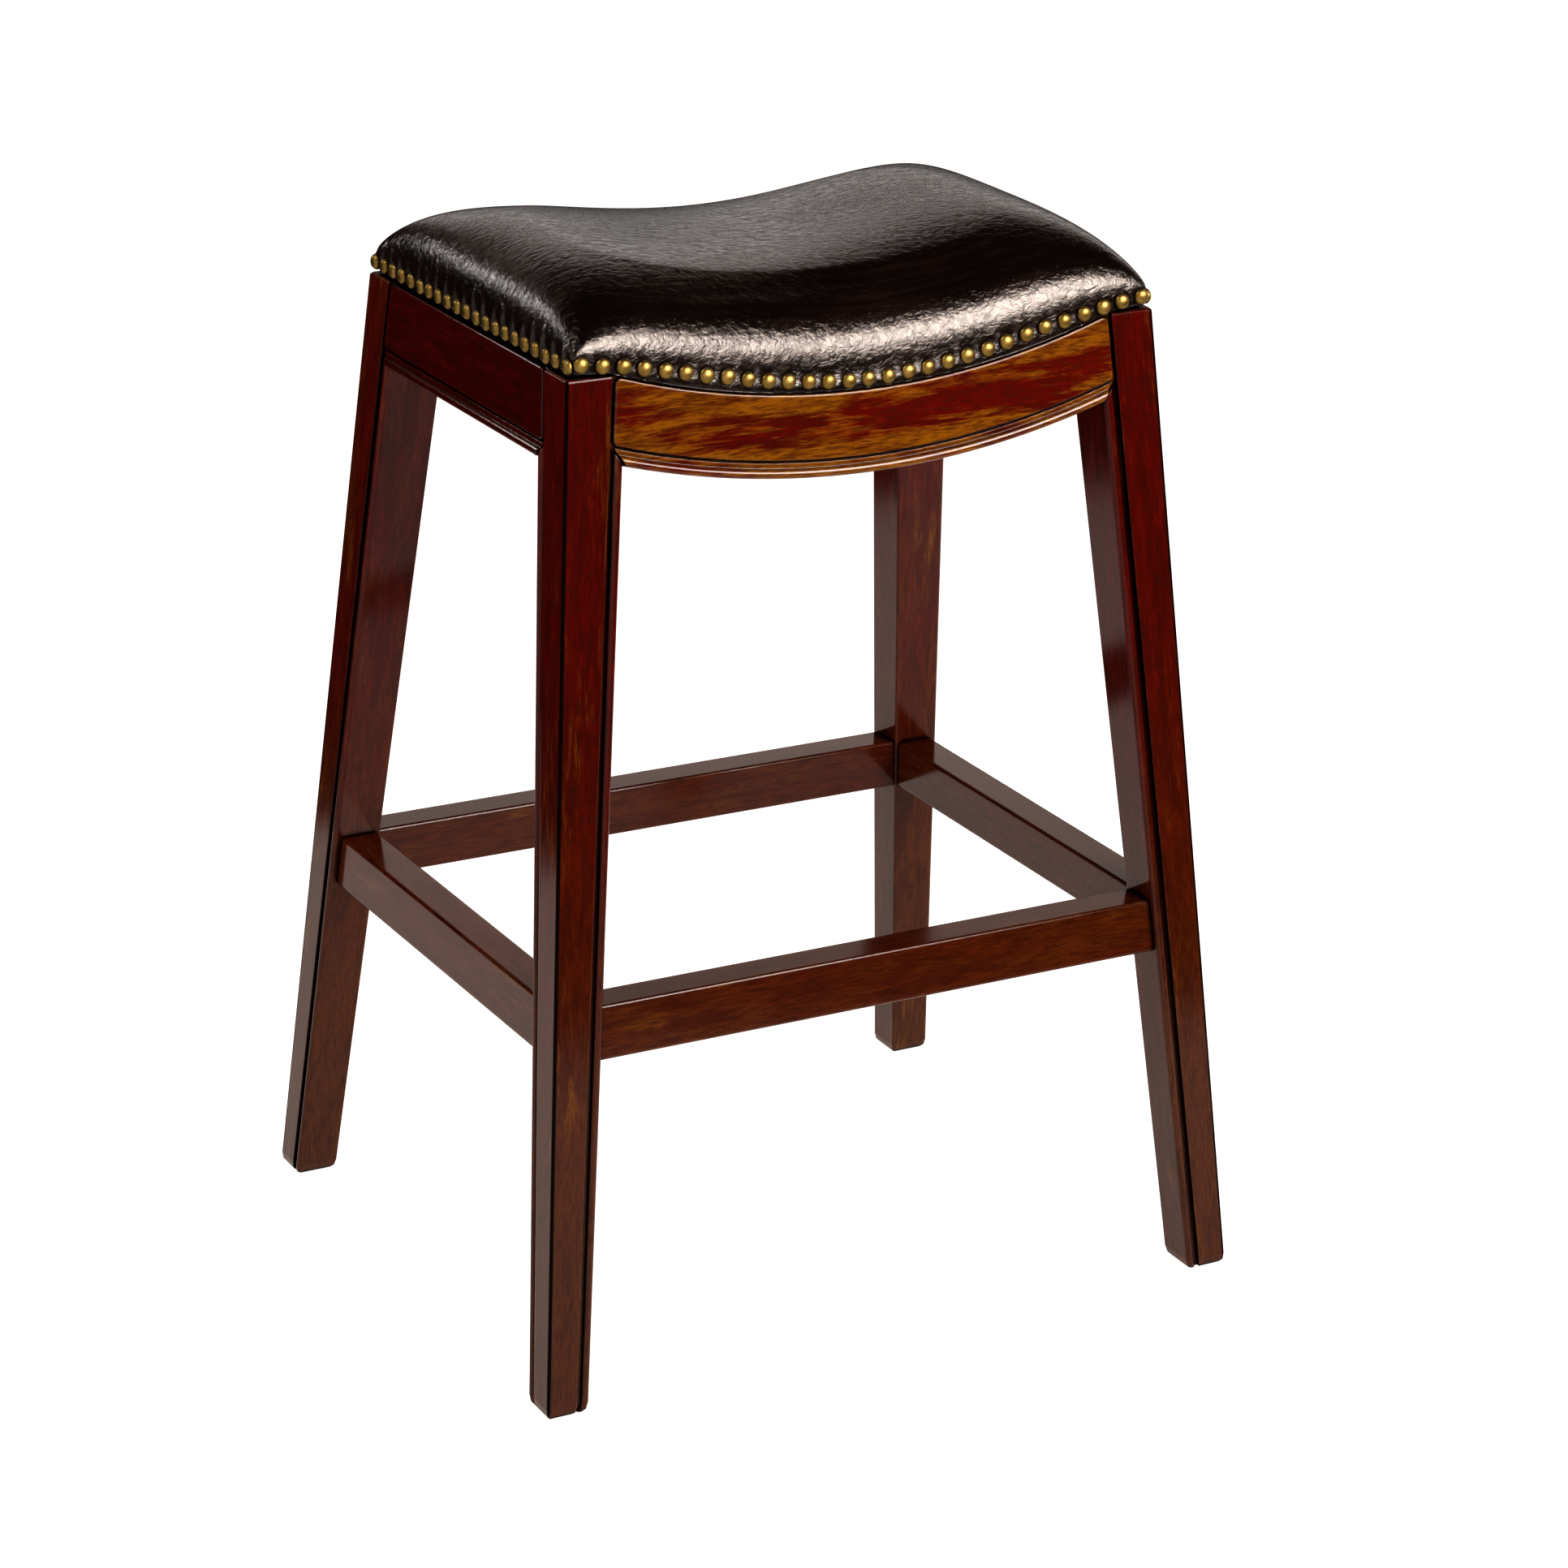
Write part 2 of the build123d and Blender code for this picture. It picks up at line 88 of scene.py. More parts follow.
# How the leather behaves as cloth, for how many frames it swells, and the most that a point may sink
LEATHER_CLOTH = {
    "vertex_group_mass": "nailed", "quality": 6, "mass": 0.25, "tension_stiffness": 20,
    "compression_stiffness": 8, "shear_stiffness": 8, "bending_stiffness": 1.5, "use_pressure": True}
SWELL_FRAMES = 20
SINK_CAP = 0.3 * MM

# Dents that the nails press in the leather: depth, radius, and the most that dents add up to
DENT_DEPTH = 0.9 * MM
DENT_RADIUS = 5.2 * MM
DENT_CAP = 1.3 * MM

# Pleats above the nails of the long rows and of the short ones, in millimetres: the least and most
# of their height, and of how far they stand out
LONG_PLEATS = ((7, 12), (0.3, 0.7))
SHORT_PLEATS = ((13, 22), (2.2, 3.2))

# A pleat's half width and how much of it goes towards the top, in millimetres, its most lean, and
# how far under the nails it starts
PLEAT_WIDTH, PLEAT_TAPER = 4.2, 2.8
PLEAT_LEAN = 0.12
PLEAT_START = 9 * MM

# How far in from a wall and out from it the nails pull, and the share of a way in that counts as height
PULL_IN, PULL_OUT = 45 * MM, 8 * MM
PULL_SLOPE = 0.75
PULL_SEED = 11

# The red heart line of the figured aprons: its height at their middle and its half width
HEART_LINE = (650 * MM, 20 * MM)

# The lighter red in the solid wood's figure, and the plain dark matte that dulls grooves, joints and the
# leather near its nails: painted shade
LIGHTER_RED = (0.150, 0.011, 0.0025)
SHADE_MATTE = (0.0025, 0.0014, 0.0010)

# A painted dark reflection along a leg's outer corner, drawn as a line on its rounded edge: half widths
# inside which it is full, and outside which it ends
CORNER_REFLECTION_LINE = (1.3 * MM, 2.4 * MM)

# How far in from an edge the stain is rubbed, and the depth of the grain and of the leather's crinkle
RUB_REACH = 1.6 * MM
GRAIN_DEPTH = 0.05 * MM
CRINKLE_DEPTH = 0.60 * MM

# A nail's dome in steps, the most that it leans, in radians, and the range of the nails' sizes
DOME_STEPS = 7
NAIL_LEAN = 0.07
NAIL_SIZES = (0.975, 1.02)

# Warm white of the studio's walls and floor, the strength of its light, and its tones from the
# horizon, 0, to straight up, 1
STUDIO_TONE = (1.0, 0.96, 0.93)
STUDIO_STRENGTH = 1.35
STUDIO_STOPS = (
    (0.0, STUDIO_TONE), (0.28, STUDIO_TONE), (0.36, (0.58, 0.51, 0.47)),
    (0.46, (0.16, 0.138, 0.125)), (0.60, 0.012), (1.0, 0.01))
FLOOR_REACH = 14.0

# Soft lamps, in metres and watts: name, place, target, size, power, tone, whether they light faces,
# and whether they shine in gloss
LAMPS = (
    ("key_front_right", (1.05, -1.95, 1.95), (0, 0, 0.7), (1.3, 1.05), 54, (1.0, 0.965, 0.94), True, False),
    ("gloss_front_right", (0.82, -2.05, 1.78), (0, 0, 0.7), (1.1, 1.2), 132, (1.0, 0.965, 0.94), False, True),
    ("gloss_back_left", (-0.66, 0.81, 1.06), (-0.2, -0.1, 0.73), (0.20, 0.09), 1.25, (1, 1, 1), False, True),
    ("left_high", (-1.5, 0.1, 2.4), (0, 0, 0.72), (0.5, 0.5), 18, (1.0, 0.95, 0.90), True, True),
)

# Black cards, in metres: name, where their foot starts and ends, height
CARDS = (
    ("card_front_right", (1.75, -0.35), (0.12, -1.328), 0.80),
    ("card_far_back", (0.2, 4.3), (3.8, 1.4), 1.2),
    ("card_back_left", (-1.2, 0.55), (0.05, 1.55), 1.15),
)

# The camera's directions, and the width of its sensor in millimetres
CAMERA_RIGHT = Vector((0.88005, -0.47459, 0.01647))
CAMERA_UP = Vector((0.15204, 0.31446, 0.93702))
SENSOR_WIDTH = 36

SIDES = ("front", "right", "back", "left")
CORNERS = ("front_left", "front_right", "back_left", "back_right")


class WoodSettings(bpy.types.PropertyGroup):
    """Colours and gloss of the stained wood."""

    amber: FloatVectorProperty(
        name="Amber", description="Light tone of the stain", subtype="COLOR", min=0, max=1,
        default=(0.185, 0.070, 0.0040))
    honey: FloatVectorProperty(
        name="Honey", description="Brown-gold tone under the red", subtype="COLOR", min=0, max=1,
        default=(0.092, 0.030, 0.0060))
    red: FloatVectorProperty(
        name="Red", description="Main tone of the stain", subtype="COLOR", min=0, max=1,
        default=(0.094, 0.0040, 0.0015))
    brown: FloatVectorProperty(
        name="Brown", description="Darker figure in the stain", subtype="COLOR", min=0, max=1,
        default=(0.038, 0.0075, 0.0028))
    # The glaze colour and its reach are partly real dark glaze and partly painted shade in grooves and
    # joints; the colour also draws the painted dark line on the legs' corners
    glaze_and_shade: FloatVectorProperty(
        name="Glaze", description="Dark glaze in grooves and joints", subtype="COLOR", min=0, max=1,
        default=(0.0035, 0.0014, 0.0010))
    glaze_and_shade_reach: FloatProperty(
        name="Glaze reach", description="How far the glaze spreads from a corner", unit="LENGTH",
        default=6 * MM, min=0)
    easing: FloatProperty(
        name="Easing", description="How far the lacquer rounds the edges", unit="LENGTH",
        default=1.5 * MM, min=0)
    lacquer: FloatProperty(
        name="Lacquer roughness", description="Least roughness of the lacquer", subtype="FACTOR",
        default=0.10, min=0, max=1)


class SeatSettings(bpy.types.PropertyGroup):
    """The leather and how it is pulled over the pad."""

    tone: FloatVectorProperty(
        name="Leather", description="Colour of the leather", subtype="COLOR", min=0, max=1,
        default=(0.0060, 0.0028, 0.0020))
    worn: FloatVectorProperty(
        name="Worn leather", description="Lighter streaks in the leather", subtype="COLOR", min=0, max=1,
        default=(0.0190, 0.0095, 0.0066))
    mesh_step: FloatProperty(
        name="Mesh step", description="Size of the cells that the pad is simulated with", unit="LENGTH",
        default=4.4 * MM, min=2 * MM)
    pressure: FloatProperty(
        name="Pressure", description="Push of the foam on the leather", default=3.0, min=0)
    swell_cap: FloatProperty(
        name="Swell cap", description="Most that a point may move outwards", unit="LENGTH",
        default=3.5 * MM, min=0)
    thickness: FloatProperty(
        name="Thickness", description="Thickness of the leather", unit="LENGTH",
        default=1.2 * MM, min=0)


class NailSettings(bpy.types.PropertyGroup):
    """The decorative nails."""

    diameter: FloatProperty(
        name="Head diameter", description="Across a nail's head", unit="LENGTH", default=11.3 * MM, min=0)
    height: FloatProperty(
        name="Head height", description="Height of a nail's dome", unit="LENGTH", default=4.2 * MM, min=0)
    front_count: IntProperty(
        name="Nails along the front", description="Number of nails in a long row", default=29, min=2)
    side_count: IntProperty(
        name="Nails along a side", description="Number of nails in a short row", default=21, min=2)
    front_span: FloatProperty(
        name="Front row", description="Length of a long row", unit="LENGTH", default=426 * MM, min=0)
    side_span: FloatProperty(
        name="Side row", description="Length of a short row", unit="LENGTH", default=305 * MM, min=0)
    front_low: FloatProperty(
        name="Front low", description="Height of the long rows' middle over the board's edge",
        unit="LENGTH", default=-26.8 * MM)
    front_high: FloatProperty(
        name="Front high", description="Height that the long rows climb towards", unit="LENGTH",
        default=8.8 * MM)
    front_wave: FloatProperty(
        name="Front wave", description="How far out the long rows would reach that height", unit="LENGTH",
        default=255.6 * MM, min=1 * MM)
    side_level: FloatProperty(
        name="Side level", description="Height of the short rows over the board's edge", unit="LENGTH",
        default=5.0 * MM)
    looseness: FloatProperty(
        name="Looseness", description="How far a nail may sit from its even place", unit="LENGTH",
        default=0.45 * MM, min=0)
    seed: IntProperty(name="Seed", description="Seed of the nails' small shifts", default=7)


class StageSettings(bpy.types.PropertyGroup):
    """Camera, lights and floor."""

    lens: FloatProperty(name="Lens", description="Focal length in millimetres", default=107.23, min=1)
    place: FloatVectorProperty(
        name="Camera", description="Where the camera stands", subtype="TRANSLATION",
        default=(-1.49056, -2.77485, 1.51249))
    floor_tone: FloatProperty(
        name="Floor", description="How pale the floor is", subtype="FACTOR", default=0.45, min=0, max=1)
    floor_glow: FloatProperty(
        name="Floor glow", description="Light that the floor gives off itself", default=0.66, min=0)
    show_floor: BoolProperty(name="Floor shown", description="Make the floor", default=True)


# Node trees


class Tone:
    """A socket in a node tree. Sums, products and quotients of tones add the nodes that they need."""

    def __init__(self, nodes, socket):
        self.nodes = nodes
        self.socket = socket

    def __add__(self, other):
        return self.nodes.maths("ADD", self, other)

    def __radd__(self, other):
        return self.nodes.maths("ADD", other, self)

    def __sub__(self, other):
        return self.nodes.maths("SUBTRACT", self, other)

    def __rsub__(self, other):
        return self.nodes.maths("SUBTRACT", other, self)

    def __mul__(self, other):
        return self.nodes.maths("MULTIPLY", self, other)

    def __rmul__(self, other):
        return self.nodes.maths("MULTIPLY", other, self)

    def __truediv__(self, other):
        return self.nodes.maths("DIVIDE", self, other)

    def __rtruediv__(self, other):
        return self.nodes.maths("DIVIDE", other, self)


class Nodes:
    """Adds nodes to a tree and links them."""

    def __init__(self, tree):
        self.tree = tree

    def make(self, kind, settings=None, inputs=None, output=0):
        """Adds a node: its settings are set first, then each input gets its value or its link."""
        node = self.tree.nodes.new(kind)
        for name, value in (settings or {}).items():
            if name == "stops":
                set_stops(node.color_ramp, value)
            else:
                setattr(node, name, value)
        for name, value in (inputs or {}).items():
            if isinstance(value, Tone):
                self.tree.links.new(value.socket, node.inputs[name])
            else:
                node.inputs[name].default_value = value
        return Tone(self, node.outputs[output]) if node.outputs else None

    def maths(self, operation, *values):
        """A Math node on tones and numbers."""
        return self.make("ShaderNodeMath", {"operation": operation}, dict(enumerate(values)))

    def axis(self, vector, name):
        """A vector's X, Y or Z."""
        return self.make("ShaderNodeSeparateXYZ", None, {0: vector}, name)


def set_stops(ramp, stops):
    """Gives a colour ramp its stops, as pairs of a place and a grey or a colour."""
    while len(ramp.elements) < len(stops):
        ramp.elements.new(1.0)
    for element, (place, tone) in zip(ramp.elements, stops):
        element.position = place
        element.color = (tone, tone, tone, 1) if isinstance(tone, (int, float)) else (*tone, 1)


class Finish(Nodes):
    """The nodes of one material."""

    def __init__(self, name):
        self.material = bpy.data.materials.new(name)
        self.material.use_nodes = True
        super().__init__(self.material.node_tree)
        self.tree.nodes.clear()

    def place(self):
        return self.make("ShaderNodeTexCoord", output="Object")

    def turned(self, origin, turn):
        """Object coordinates measured from an origin, with X along a piece's grain."""
        settings = {"vector_type": "TEXTURE"}
        return self.make("ShaderNodeMapping", settings, {
            "Vector": self.place(), "Location": origin, "Rotation": turn})

    def scaled(self, vector, scale):
        return self.make("ShaderNodeVectorMath", {"operation": "MULTIPLY"}, {0: vector, 1: scale})

    def noise(self, vector, scale, detail=4.0, roughness=0.5, distortion=0.0):
        """Noise with its own scale, per metre, along each direction."""
        return self.make("ShaderNodeTexNoise", {"noise_dimensions": "3D"}, {
            "Vector": self.scaled(vector, scale), "Scale": 1.0, "Detail": detail,
            "Roughness": roughness, "Distortion": distortion})

    def step(self, value, low, high):
        return self.make("ShaderNodeMapRange", {"interpolation_type": "SMOOTHSTEP"}, {
            "Value": value, "From Min": low, "From Max": high})

    def mix(self, factor, first, second, mode="MIX"):
        """Mixes two colours."""
        settings = {"data_type": "RGBA", "blend_type": mode}
        inputs = {0: factor, 6: as_colour(first), 7: as_colour(second)}
        return self.make("ShaderNodeMix", settings, inputs, 2)

    def hollow(self, reach, inside=False):
        """How open a place is: 1 on a face, towards 0 in a groove, or on an edge when looking inside."""
        settings = {"samples": 6, "inside": inside, "only_local": False}
        return self.make("ShaderNodeAmbientOcclusion", settings, {"Distance": reach}, "AO")

    def eased(self, radius):
        """Normals that round the piece's edges a little."""
        return self.make("ShaderNodeBevel", {"samples": 4}, {"Radius": radius})

    def bump(self, height, distance, normal=None):
        inputs = {"Height": height, "Distance": distance, "Strength": 1.0}
        if normal:
            inputs["Normal"] = normal
        return self.make("ShaderNodeBump", None, inputs)

    def near_line(self, start, along, inner, outer):
        """1 on a straight line through a point, towards 0 away from it."""
        off = self.scaled(self.turned(start, grain_turn(along)), (0, 1, 1))
        away = self.make("ShaderNodeVectorMath", {"operation": "LENGTH"}, {0: off}, "Value")
        return self.step(away, outer, inner)

    def surface(self, dull=None, **inputs):
        """Ends the tree in a Principled surface, with a plain dark matte over it where it is dull, which is
        painted shade.

        An input's name is given with underscores for spaces.
        """
        named = {name.replace("_", " "): value for name, value in inputs.items()}
        if not isinstance(named["Base Color"], Tone):
            named["Base Color"] = as_colour(named["Base Color"])
        shader = self.make("ShaderNodeBsdfPrincipled", None, named)
        # Where it is dull, a plain dark matte replaces the gloss: painted shade
        if dull:
            dirt = self.make("ShaderNodeBsdfDiffuse", None, {"Color": as_colour(SHADE_MATTE)})
            shader = self.make("ShaderNodeMixShader", None, {0: dull, 1: shader, 2: dirt})
        self.make("ShaderNodeOutputMaterial", None, {"Surface": shader})
        return self.material


def as_colour(value):
    """A colour as a socket takes it."""
    return value if isinstance(value, Tone) else (*tuple(value)[:3], 1.0)


def dress(node, material):
    """Gives a CAD node its finish."""
    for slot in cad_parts[node].material_slots:
        slot.material = material


# Wood


def grain_turn(along):
    """The turn that takes X to a direction along the grain."""
    first = Vector(along).normalized()
    helper = Vector((0, 0, 1)) if abs(first.z) < 0.7 else Vector((1, 0, 0))
    second = helper.cross(first).normalized()
    third = first.cross(second)
    return Matrix((first, second, third)).transposed().to_euler()


def stained_wood(name, origin, along, warmth, shade, figured=False, floor_reflection_brown=0.0, corner=None):
    """Lacquered cherry-stained wood with its grain along a direction.

    The figured veneer has streaky gold figure and is redder along its heart line, and the solid wood
    has soft clouds of brown-gold and turns more brown-gold towards the floor, which is painted reflection of
    the pale floor.
    """
    tones = bpy.context.scene.stool_wood
    wood = Finish(name)
    place = wood.turned(origin, grain_turn(along))
    figure = wood.noise(place, (7, 40, 40), detail=4, roughness=0.55, distortion=0.7)
    mottle = wood.noise(place, (22, 120, 120), detail=5, roughness=0.62, distortion=0.6)
    streak = wood.noise(place, (34, 460, 460), detail=4, roughness=0.62, distortion=0.4)
    fleck = wood.noise(place, (90, 900, 900), detail=3, roughness=0.62)
    blotch = figure * 0.45 + mottle * 0.33 + streak * 0.22
    if figured:
        blotch = blotch - heart_band(wood, *HEART_LINE) * 0.075
        warm = wood.step(blotch, 0.555 - warmth * 0.15, 0.665 - warmth * 0.15)
        colour = wood.mix(warm, tones.red, tones.amber)
    else:
        low = wood.step(wood.axis(wood.place(), "Z"), 0.55, 0.10)
        soft = figure * 0.5 + mottle * 0.4 + streak * 0.1
        soft = wood.step(soft, 0.60 - warmth * 0.2, 0.78 - warmth * 0.2)
        colour = wood.mix(soft * 0.8, tones.red, tones.honey)
        colour = wood.mix(wood.step(mottle * 0.5 + streak * 0.5, 0.48, 0.64) * 0.55, colour, LIGHTER_RED)
        # Browner towards the floor: painted reflection of the pale floor in the lacquer
        colour = wood.mix(low * floor_reflection_brown, colour, tones.honey)
        rubs = 0.55 * min(1.0, warmth * 2.5)
        colour = wood.mix(wood.step(blotch, 0.560, 0.640) * rubs, colour, tones.amber)
    dark = wood.step(mottle * 0.6 + streak * 0.4, 0.55, 0.38)
    colour = wood.mix(dark * 0.55, colour, tones.brown)
    colour = wood.mix(wood.step(fleck * 0.7 + streak * 0.3, 0.46, 0.62) * 0.7, colour, tones.brown)
    # The shade factor darkens a whole piece; on the side aprons it is painted shade
    colour = wood.mix(1.0, colour, (shade, shade, shade), "MULTIPLY")
    rubbed = wood.step(wood.hollow(RUB_REACH, inside=True), 0.75, 0.35) * wood.step(streak, 0.45, 0.58)
    colour = wood.mix(rubbed * 0.5, colour, tones.amber)
    # Darker where nearby surfaces close in, in grooves and joints: partly real glaze, partly painted shade,
    # dulled to the dark matte there
    glaze_and_shade_mask = wood.step(wood.hollow(tones.glaze_and_shade_reach), 0.84, 0.50)
    colour = wood.mix(glaze_and_shade_mask * 0.95, colour, tones.glaze_and_shade)
    dull = wood.step(glaze_and_shade_mask, 0.45, 0.95) * 0.9
    # A painted dark reflection along the leg's outer corner, in the glaze colour and dulled
    if corner:
        line = wood.near_line(corner, along, *CORNER_REFLECTION_LINE)
        colour = wood.mix(line * 0.9, colour, tones.glaze_and_shade)
        dull = 1 - (1 - dull) * (1 - line * 0.8)
    return wood.surface(
        dull,
        Base_Color=colour,
        Roughness=wood.step(streak, 0.2, 0.8) * 0.06 + tones.lacquer,
        Normal=wood.bump(streak * 0.5 + mottle * 0.5, GRAIN_DEPTH, wood.eased(tones.easing)),
        Specular_IOR_Level=0.26)


def heart_band(wood, middle, half_width):
    """1 along a line that follows the saddle at a height, towards 0 away from it."""
    place = wood.place()
    across = wood.axis(place, "X")
    off = wood.axis(place, "Z") - middle - across * across * (0.5 / SADDLE_RADIUS)
    return 1 - wood.step(wood.maths("ABSOLUTE", off), half_width * 0.3, half_width)


def bare_wood(name, origin, along, light, dark, layers=0.0):
    """Plain planed wood, or the edge of plywood when it has layers."""
    wood = Finish(name)
    place = wood.turned(origin, grain_turn(along))
    ring = wood.noise(place, (5, 90, 90), detail=4, distortion=0.4)
    fibre = wood.noise(place, (60, 1400, 1400), detail=3)
    colour = wood.mix(wood.step(ring * 0.7 + fibre * 0.3, 0.35, 0.65), light, dark)
    if layers:
        band = wood.maths("SINE", wood.axis(place, "Z") * (2 * math.pi / layers))
        colour = wood.mix(wood.step(band, 0.1, 0.6) * 0.35, colour, dark)
    return wood.surface(
        Base_Color=colour,
        Roughness=0.62 + (fibre - 0.5) * 0.2,
        Normal=wood.bump(fibre, 0.15 * MM))


class STOOL_OT_legs(bpy.types.Operator):
    """Stain the legs, with the grain running up each one"""

    bl_idname = "stool.legs"
    bl_label = "Legs"

    def execute(self, context):
        for index, corner in enumerate(CORNERS):
            side_x = -1 if "left" in corner else 1
            side_y = -1 if "front" in corner else 1
            rise = Vector((
                side_x * (TOP_SPAN[0] - FOOT_SPAN[0]) / 2,
                side_y * (TOP_SPAN[1] - FOOT_SPAN[1]) / 2,
                LEG_HEIGHT))
            foot_x, foot_y = side_x * FOOT_SPAN[0] / 2, side_y * FOOT_SPAN[1] / 2
            material = stained_wood(
                f"stained_leg_{corner}", (foot_x, foot_y, 0.37 * index), rise,
                warmth=0.35 if side_y < 0 else 0.75, shade=0.77, floor_reflection_brown=0.85,
                corner=(foot_x, foot_y, 0))
            dress(f"leg_{corner}", material)
        return {"FINISHED"}


class STOOL_OT_aprons(bpy.types.Operator):
    """Stain the aprons, the curved ones in the lighter figured veneer"""

    bl_idname = "stool.aprons"
    bl_label = "Aprons"

    def execute(self, context):
        for index, side in enumerate(SIDES):
            long_way = side in ("front", "back")
            along = (1, 0, 0) if long_way else (0, 1, 0)
            # The side aprons' low shade is painted shade, darkening their faces as if in shadow
            material = stained_wood(
                f"stained_apron_{side}", (0.23 * index, 0.11, 0.05), along,
                warmth=1.0 if long_way else 0.05, shade=1.0 if long_way else 0.52, figured=long_way)
            dress(f"apron_{side}", material)
        return {"FINISHED"}


class STOOL_OT_stretchers(bpy.types.Operator):
    """Stain the stretchers"""

    bl_idname = "stool.stretchers"
    bl_label = "Stretchers"

    def execute(self, context):
        for index, side in enumerate(SIDES):
            along = (1, 0, 0) if side in ("front", "back") else (0, 1, 0)
            material = stained_wood(
                f"stained_stretcher_{side}", (0.41 * index, 0.02, 0.31), along,
                warmth=0.75, shade=0.80, floor_reflection_brown=0.8)
            dress(f"stretcher_{side}", material)
        return {"FINISHED"}


class STOOL_OT_understructure(bpy.types.Operator):
    """Finish what is under the seat: blocks, board, screws, dust cover and glides"""

    bl_idname = "stool.understructure"
    bl_label = "Under the seat"

    def execute(self, context):
        for index, corner in enumerate(CORNERS):
            slope = -1 if corner in ("front_right", "back_left") else 1
            block = bare_wood(
                f"block_wood_{corner}", (0, 0, 0.1 * index), (1, -slope, 0),
                (0.40, 0.26, 0.14), (0.27, 0.16, 0.08))
            dress(f"corner_block_{corner}", block)
            dress(f"glide_{corner}", glide_plastic())
        for node in ("corner_block_screws", "seat_screws"):
            dress(node, zinc())
        self.make_board()
        self.make_dust_cover()
        return {"FINISHED"}

    def make_board(self):
        """Bends the plywood board, a little inside the foam that wraps it."""
        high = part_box("seat_board")[1]
        room = 5 * MM
        board = saddle_sheet("plywood_board", high.x - room, high.y - room, BOARD_LEVEL, 80, 4)
        thicken(board, BOARD_THICKNESS)
        board.data.materials.append(bare_wood(
            "seat_plywood", (0, 0, 0.02), (1, 0, 0), (0.52, 0.37, 0.22), (0.36, 0.23, 0.12), layers=3 * MM))
        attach(board, BODY)
        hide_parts("seat_board")

    def make_dust_cover(self):
        """Stretches the cloth under the seat over the turned-under edge of the leather."""
        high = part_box("dust_cover")[1]
        cloth = saddle_sheet("dust_cloth", high.x, high.y, DUST_LEVEL, 96, 66, cloth_slack)
        thicken(cloth, 0.3 * MM)
        cloth.data.materials.append(black_cloth())
        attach(cloth, BODY)
        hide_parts("dust_cover")


def cloth_slack(x, y, share_x, share_y):
    """How far the stretched cloth lies above its even line: it sags, and puckers between its staples."""
    sag = 1.4 * MM * (1 - share_x**4) * (1 - share_y**4)
    run = x if abs(share_y) > abs(share_x) else y
    pucker = 0.25 * MM * max(abs(share_x), abs(share_y)) ** 6
    return pucker * abs(math.sin(run * 2 * math.pi / (32 * MM))) - sag


def saddle_sheet(name, half_length, half_depth, level, columns, rows, lift=None):
    """A sheet bent to the saddle at a level over the leg tops."""
    points = []
    for c in range(columns + 1):
        for r in range(rows + 1):
            share_x, share_y = 2 * c / columns - 1, 2 * r / rows - 1
            x, y = share_x * half_length, share_y * half_depth
            raised = lift(x, y, share_x, share_y) if lift else 0
            points.append((x, y, float(saddle_line(x, level)) + raised))
    deep = rows + 1
    faces = [
        (c * deep + r, (c + 1) * deep + r, (c + 1) * deep + r + 1, c * deep + r + 1)
        for c in range(columns) for r in range(rows)]
    return mesh_object(name, points, faces)


def thicken(piece, thickness, offset=1):
    """Gives a sheet its thickness, on the side that its faces point to, or on the other with -1."""
    wall = piece.modifiers.new("Thickness", "SOLIDIFY")
    wall.thickness = thickness
    wall.offset = offset
    apply_modifiers(piece)
    piece.data.materials.clear()


def glide_plastic():
    plastic = Finish("glide_nylon")
    speck = plastic.noise(plastic.place(), (900, 900, 900), detail=2)
    return plastic.surface(
        Base_Color=plastic.mix(speck, (0.035, 0.027, 0.022), (0.055, 0.045, 0.038)),
        Roughness=0.45 + (speck - 0.5) * 0.2,
        Normal=plastic.bump(speck, 0.05 * MM))


def zinc():
    metal = Finish("zinc_plate")
    speck = metal.noise(metal.place(), (700, 700, 700), detail=4)
    return metal.surface(
        Base_Color=metal.mix(speck, (0.50, 0.49, 0.44), (0.68, 0.67, 0.62)),
        Metallic=1.0,
        Roughness=0.32 + (speck - 0.5) * 0.25,
        Normal=metal.bump(speck, 0.03 * MM))


def black_cloth():
    cloth = Finish("dust_cloth")
    place = cloth.place()
    fibre = cloth.noise(place, (1900, 260, 1200), detail=3, distortion=1.2)
    cross = cloth.noise(place, (260, 1900, 1200), detail=3, distortion=1.2)
    return cloth.surface(
        Base_Color=cloth.mix(fibre * cross * 2.0, (0.010, 0.010, 0.011), (0.045, 0.045, 0.047)),
        Roughness=0.9,
        Normal=cloth.bump(fibre + cross, 0.2 * MM))


# Seat


def saddle_line(x, level):
    """Height of the saddle line that lies a level above the leg tops."""
    centre = LEG_HEIGHT - SADDLE_DIP + SADDLE_RADIUS
    radius = SADDLE_RADIUS - level
    flat = LEG_HEIGHT + level
    inside = np.maximum(radius**2 - np.square(x), (centre - flat) ** 2)
    return centre - np.sqrt(inside)


def rim_line(share):
    """Height of the line where the walls of the seat turn into its crown."""
    return RIM_END_HEIGHT - RIM_DIP * (1 - share**2)


def crown_rise(share):
    """Rise of the crown over the rim line, along the middle of the seat."""
    bow = np.maximum(1 - share**2, 0)
    return (CROWN_END_RISE - CROWN_MIDDLE_LOSS * bow) * np.sqrt(bow)


def even_places(along, up, count):
    """Places along a curve, given by dense points, that are evenly spaced by its length."""
    run = np.concatenate([[0], np.cumsum(np.hypot(np.diff(along), np.diff(up)))])
    return np.interp(np.linspace(0, run[-1], count), run, np.arange(len(run)))


def seat_stations(half_length, columns):
    """Shares of the half length, evenly spaced along the seat's middle line."""
    turn = np.linspace(0, QUARTER, 2000)
    share = np.sin(turn)
    index = even_places(share * half_length, rim_line(share) + crown_rise(share), columns + 1)
    return np.interp(index, np.arange(len(share)), share)


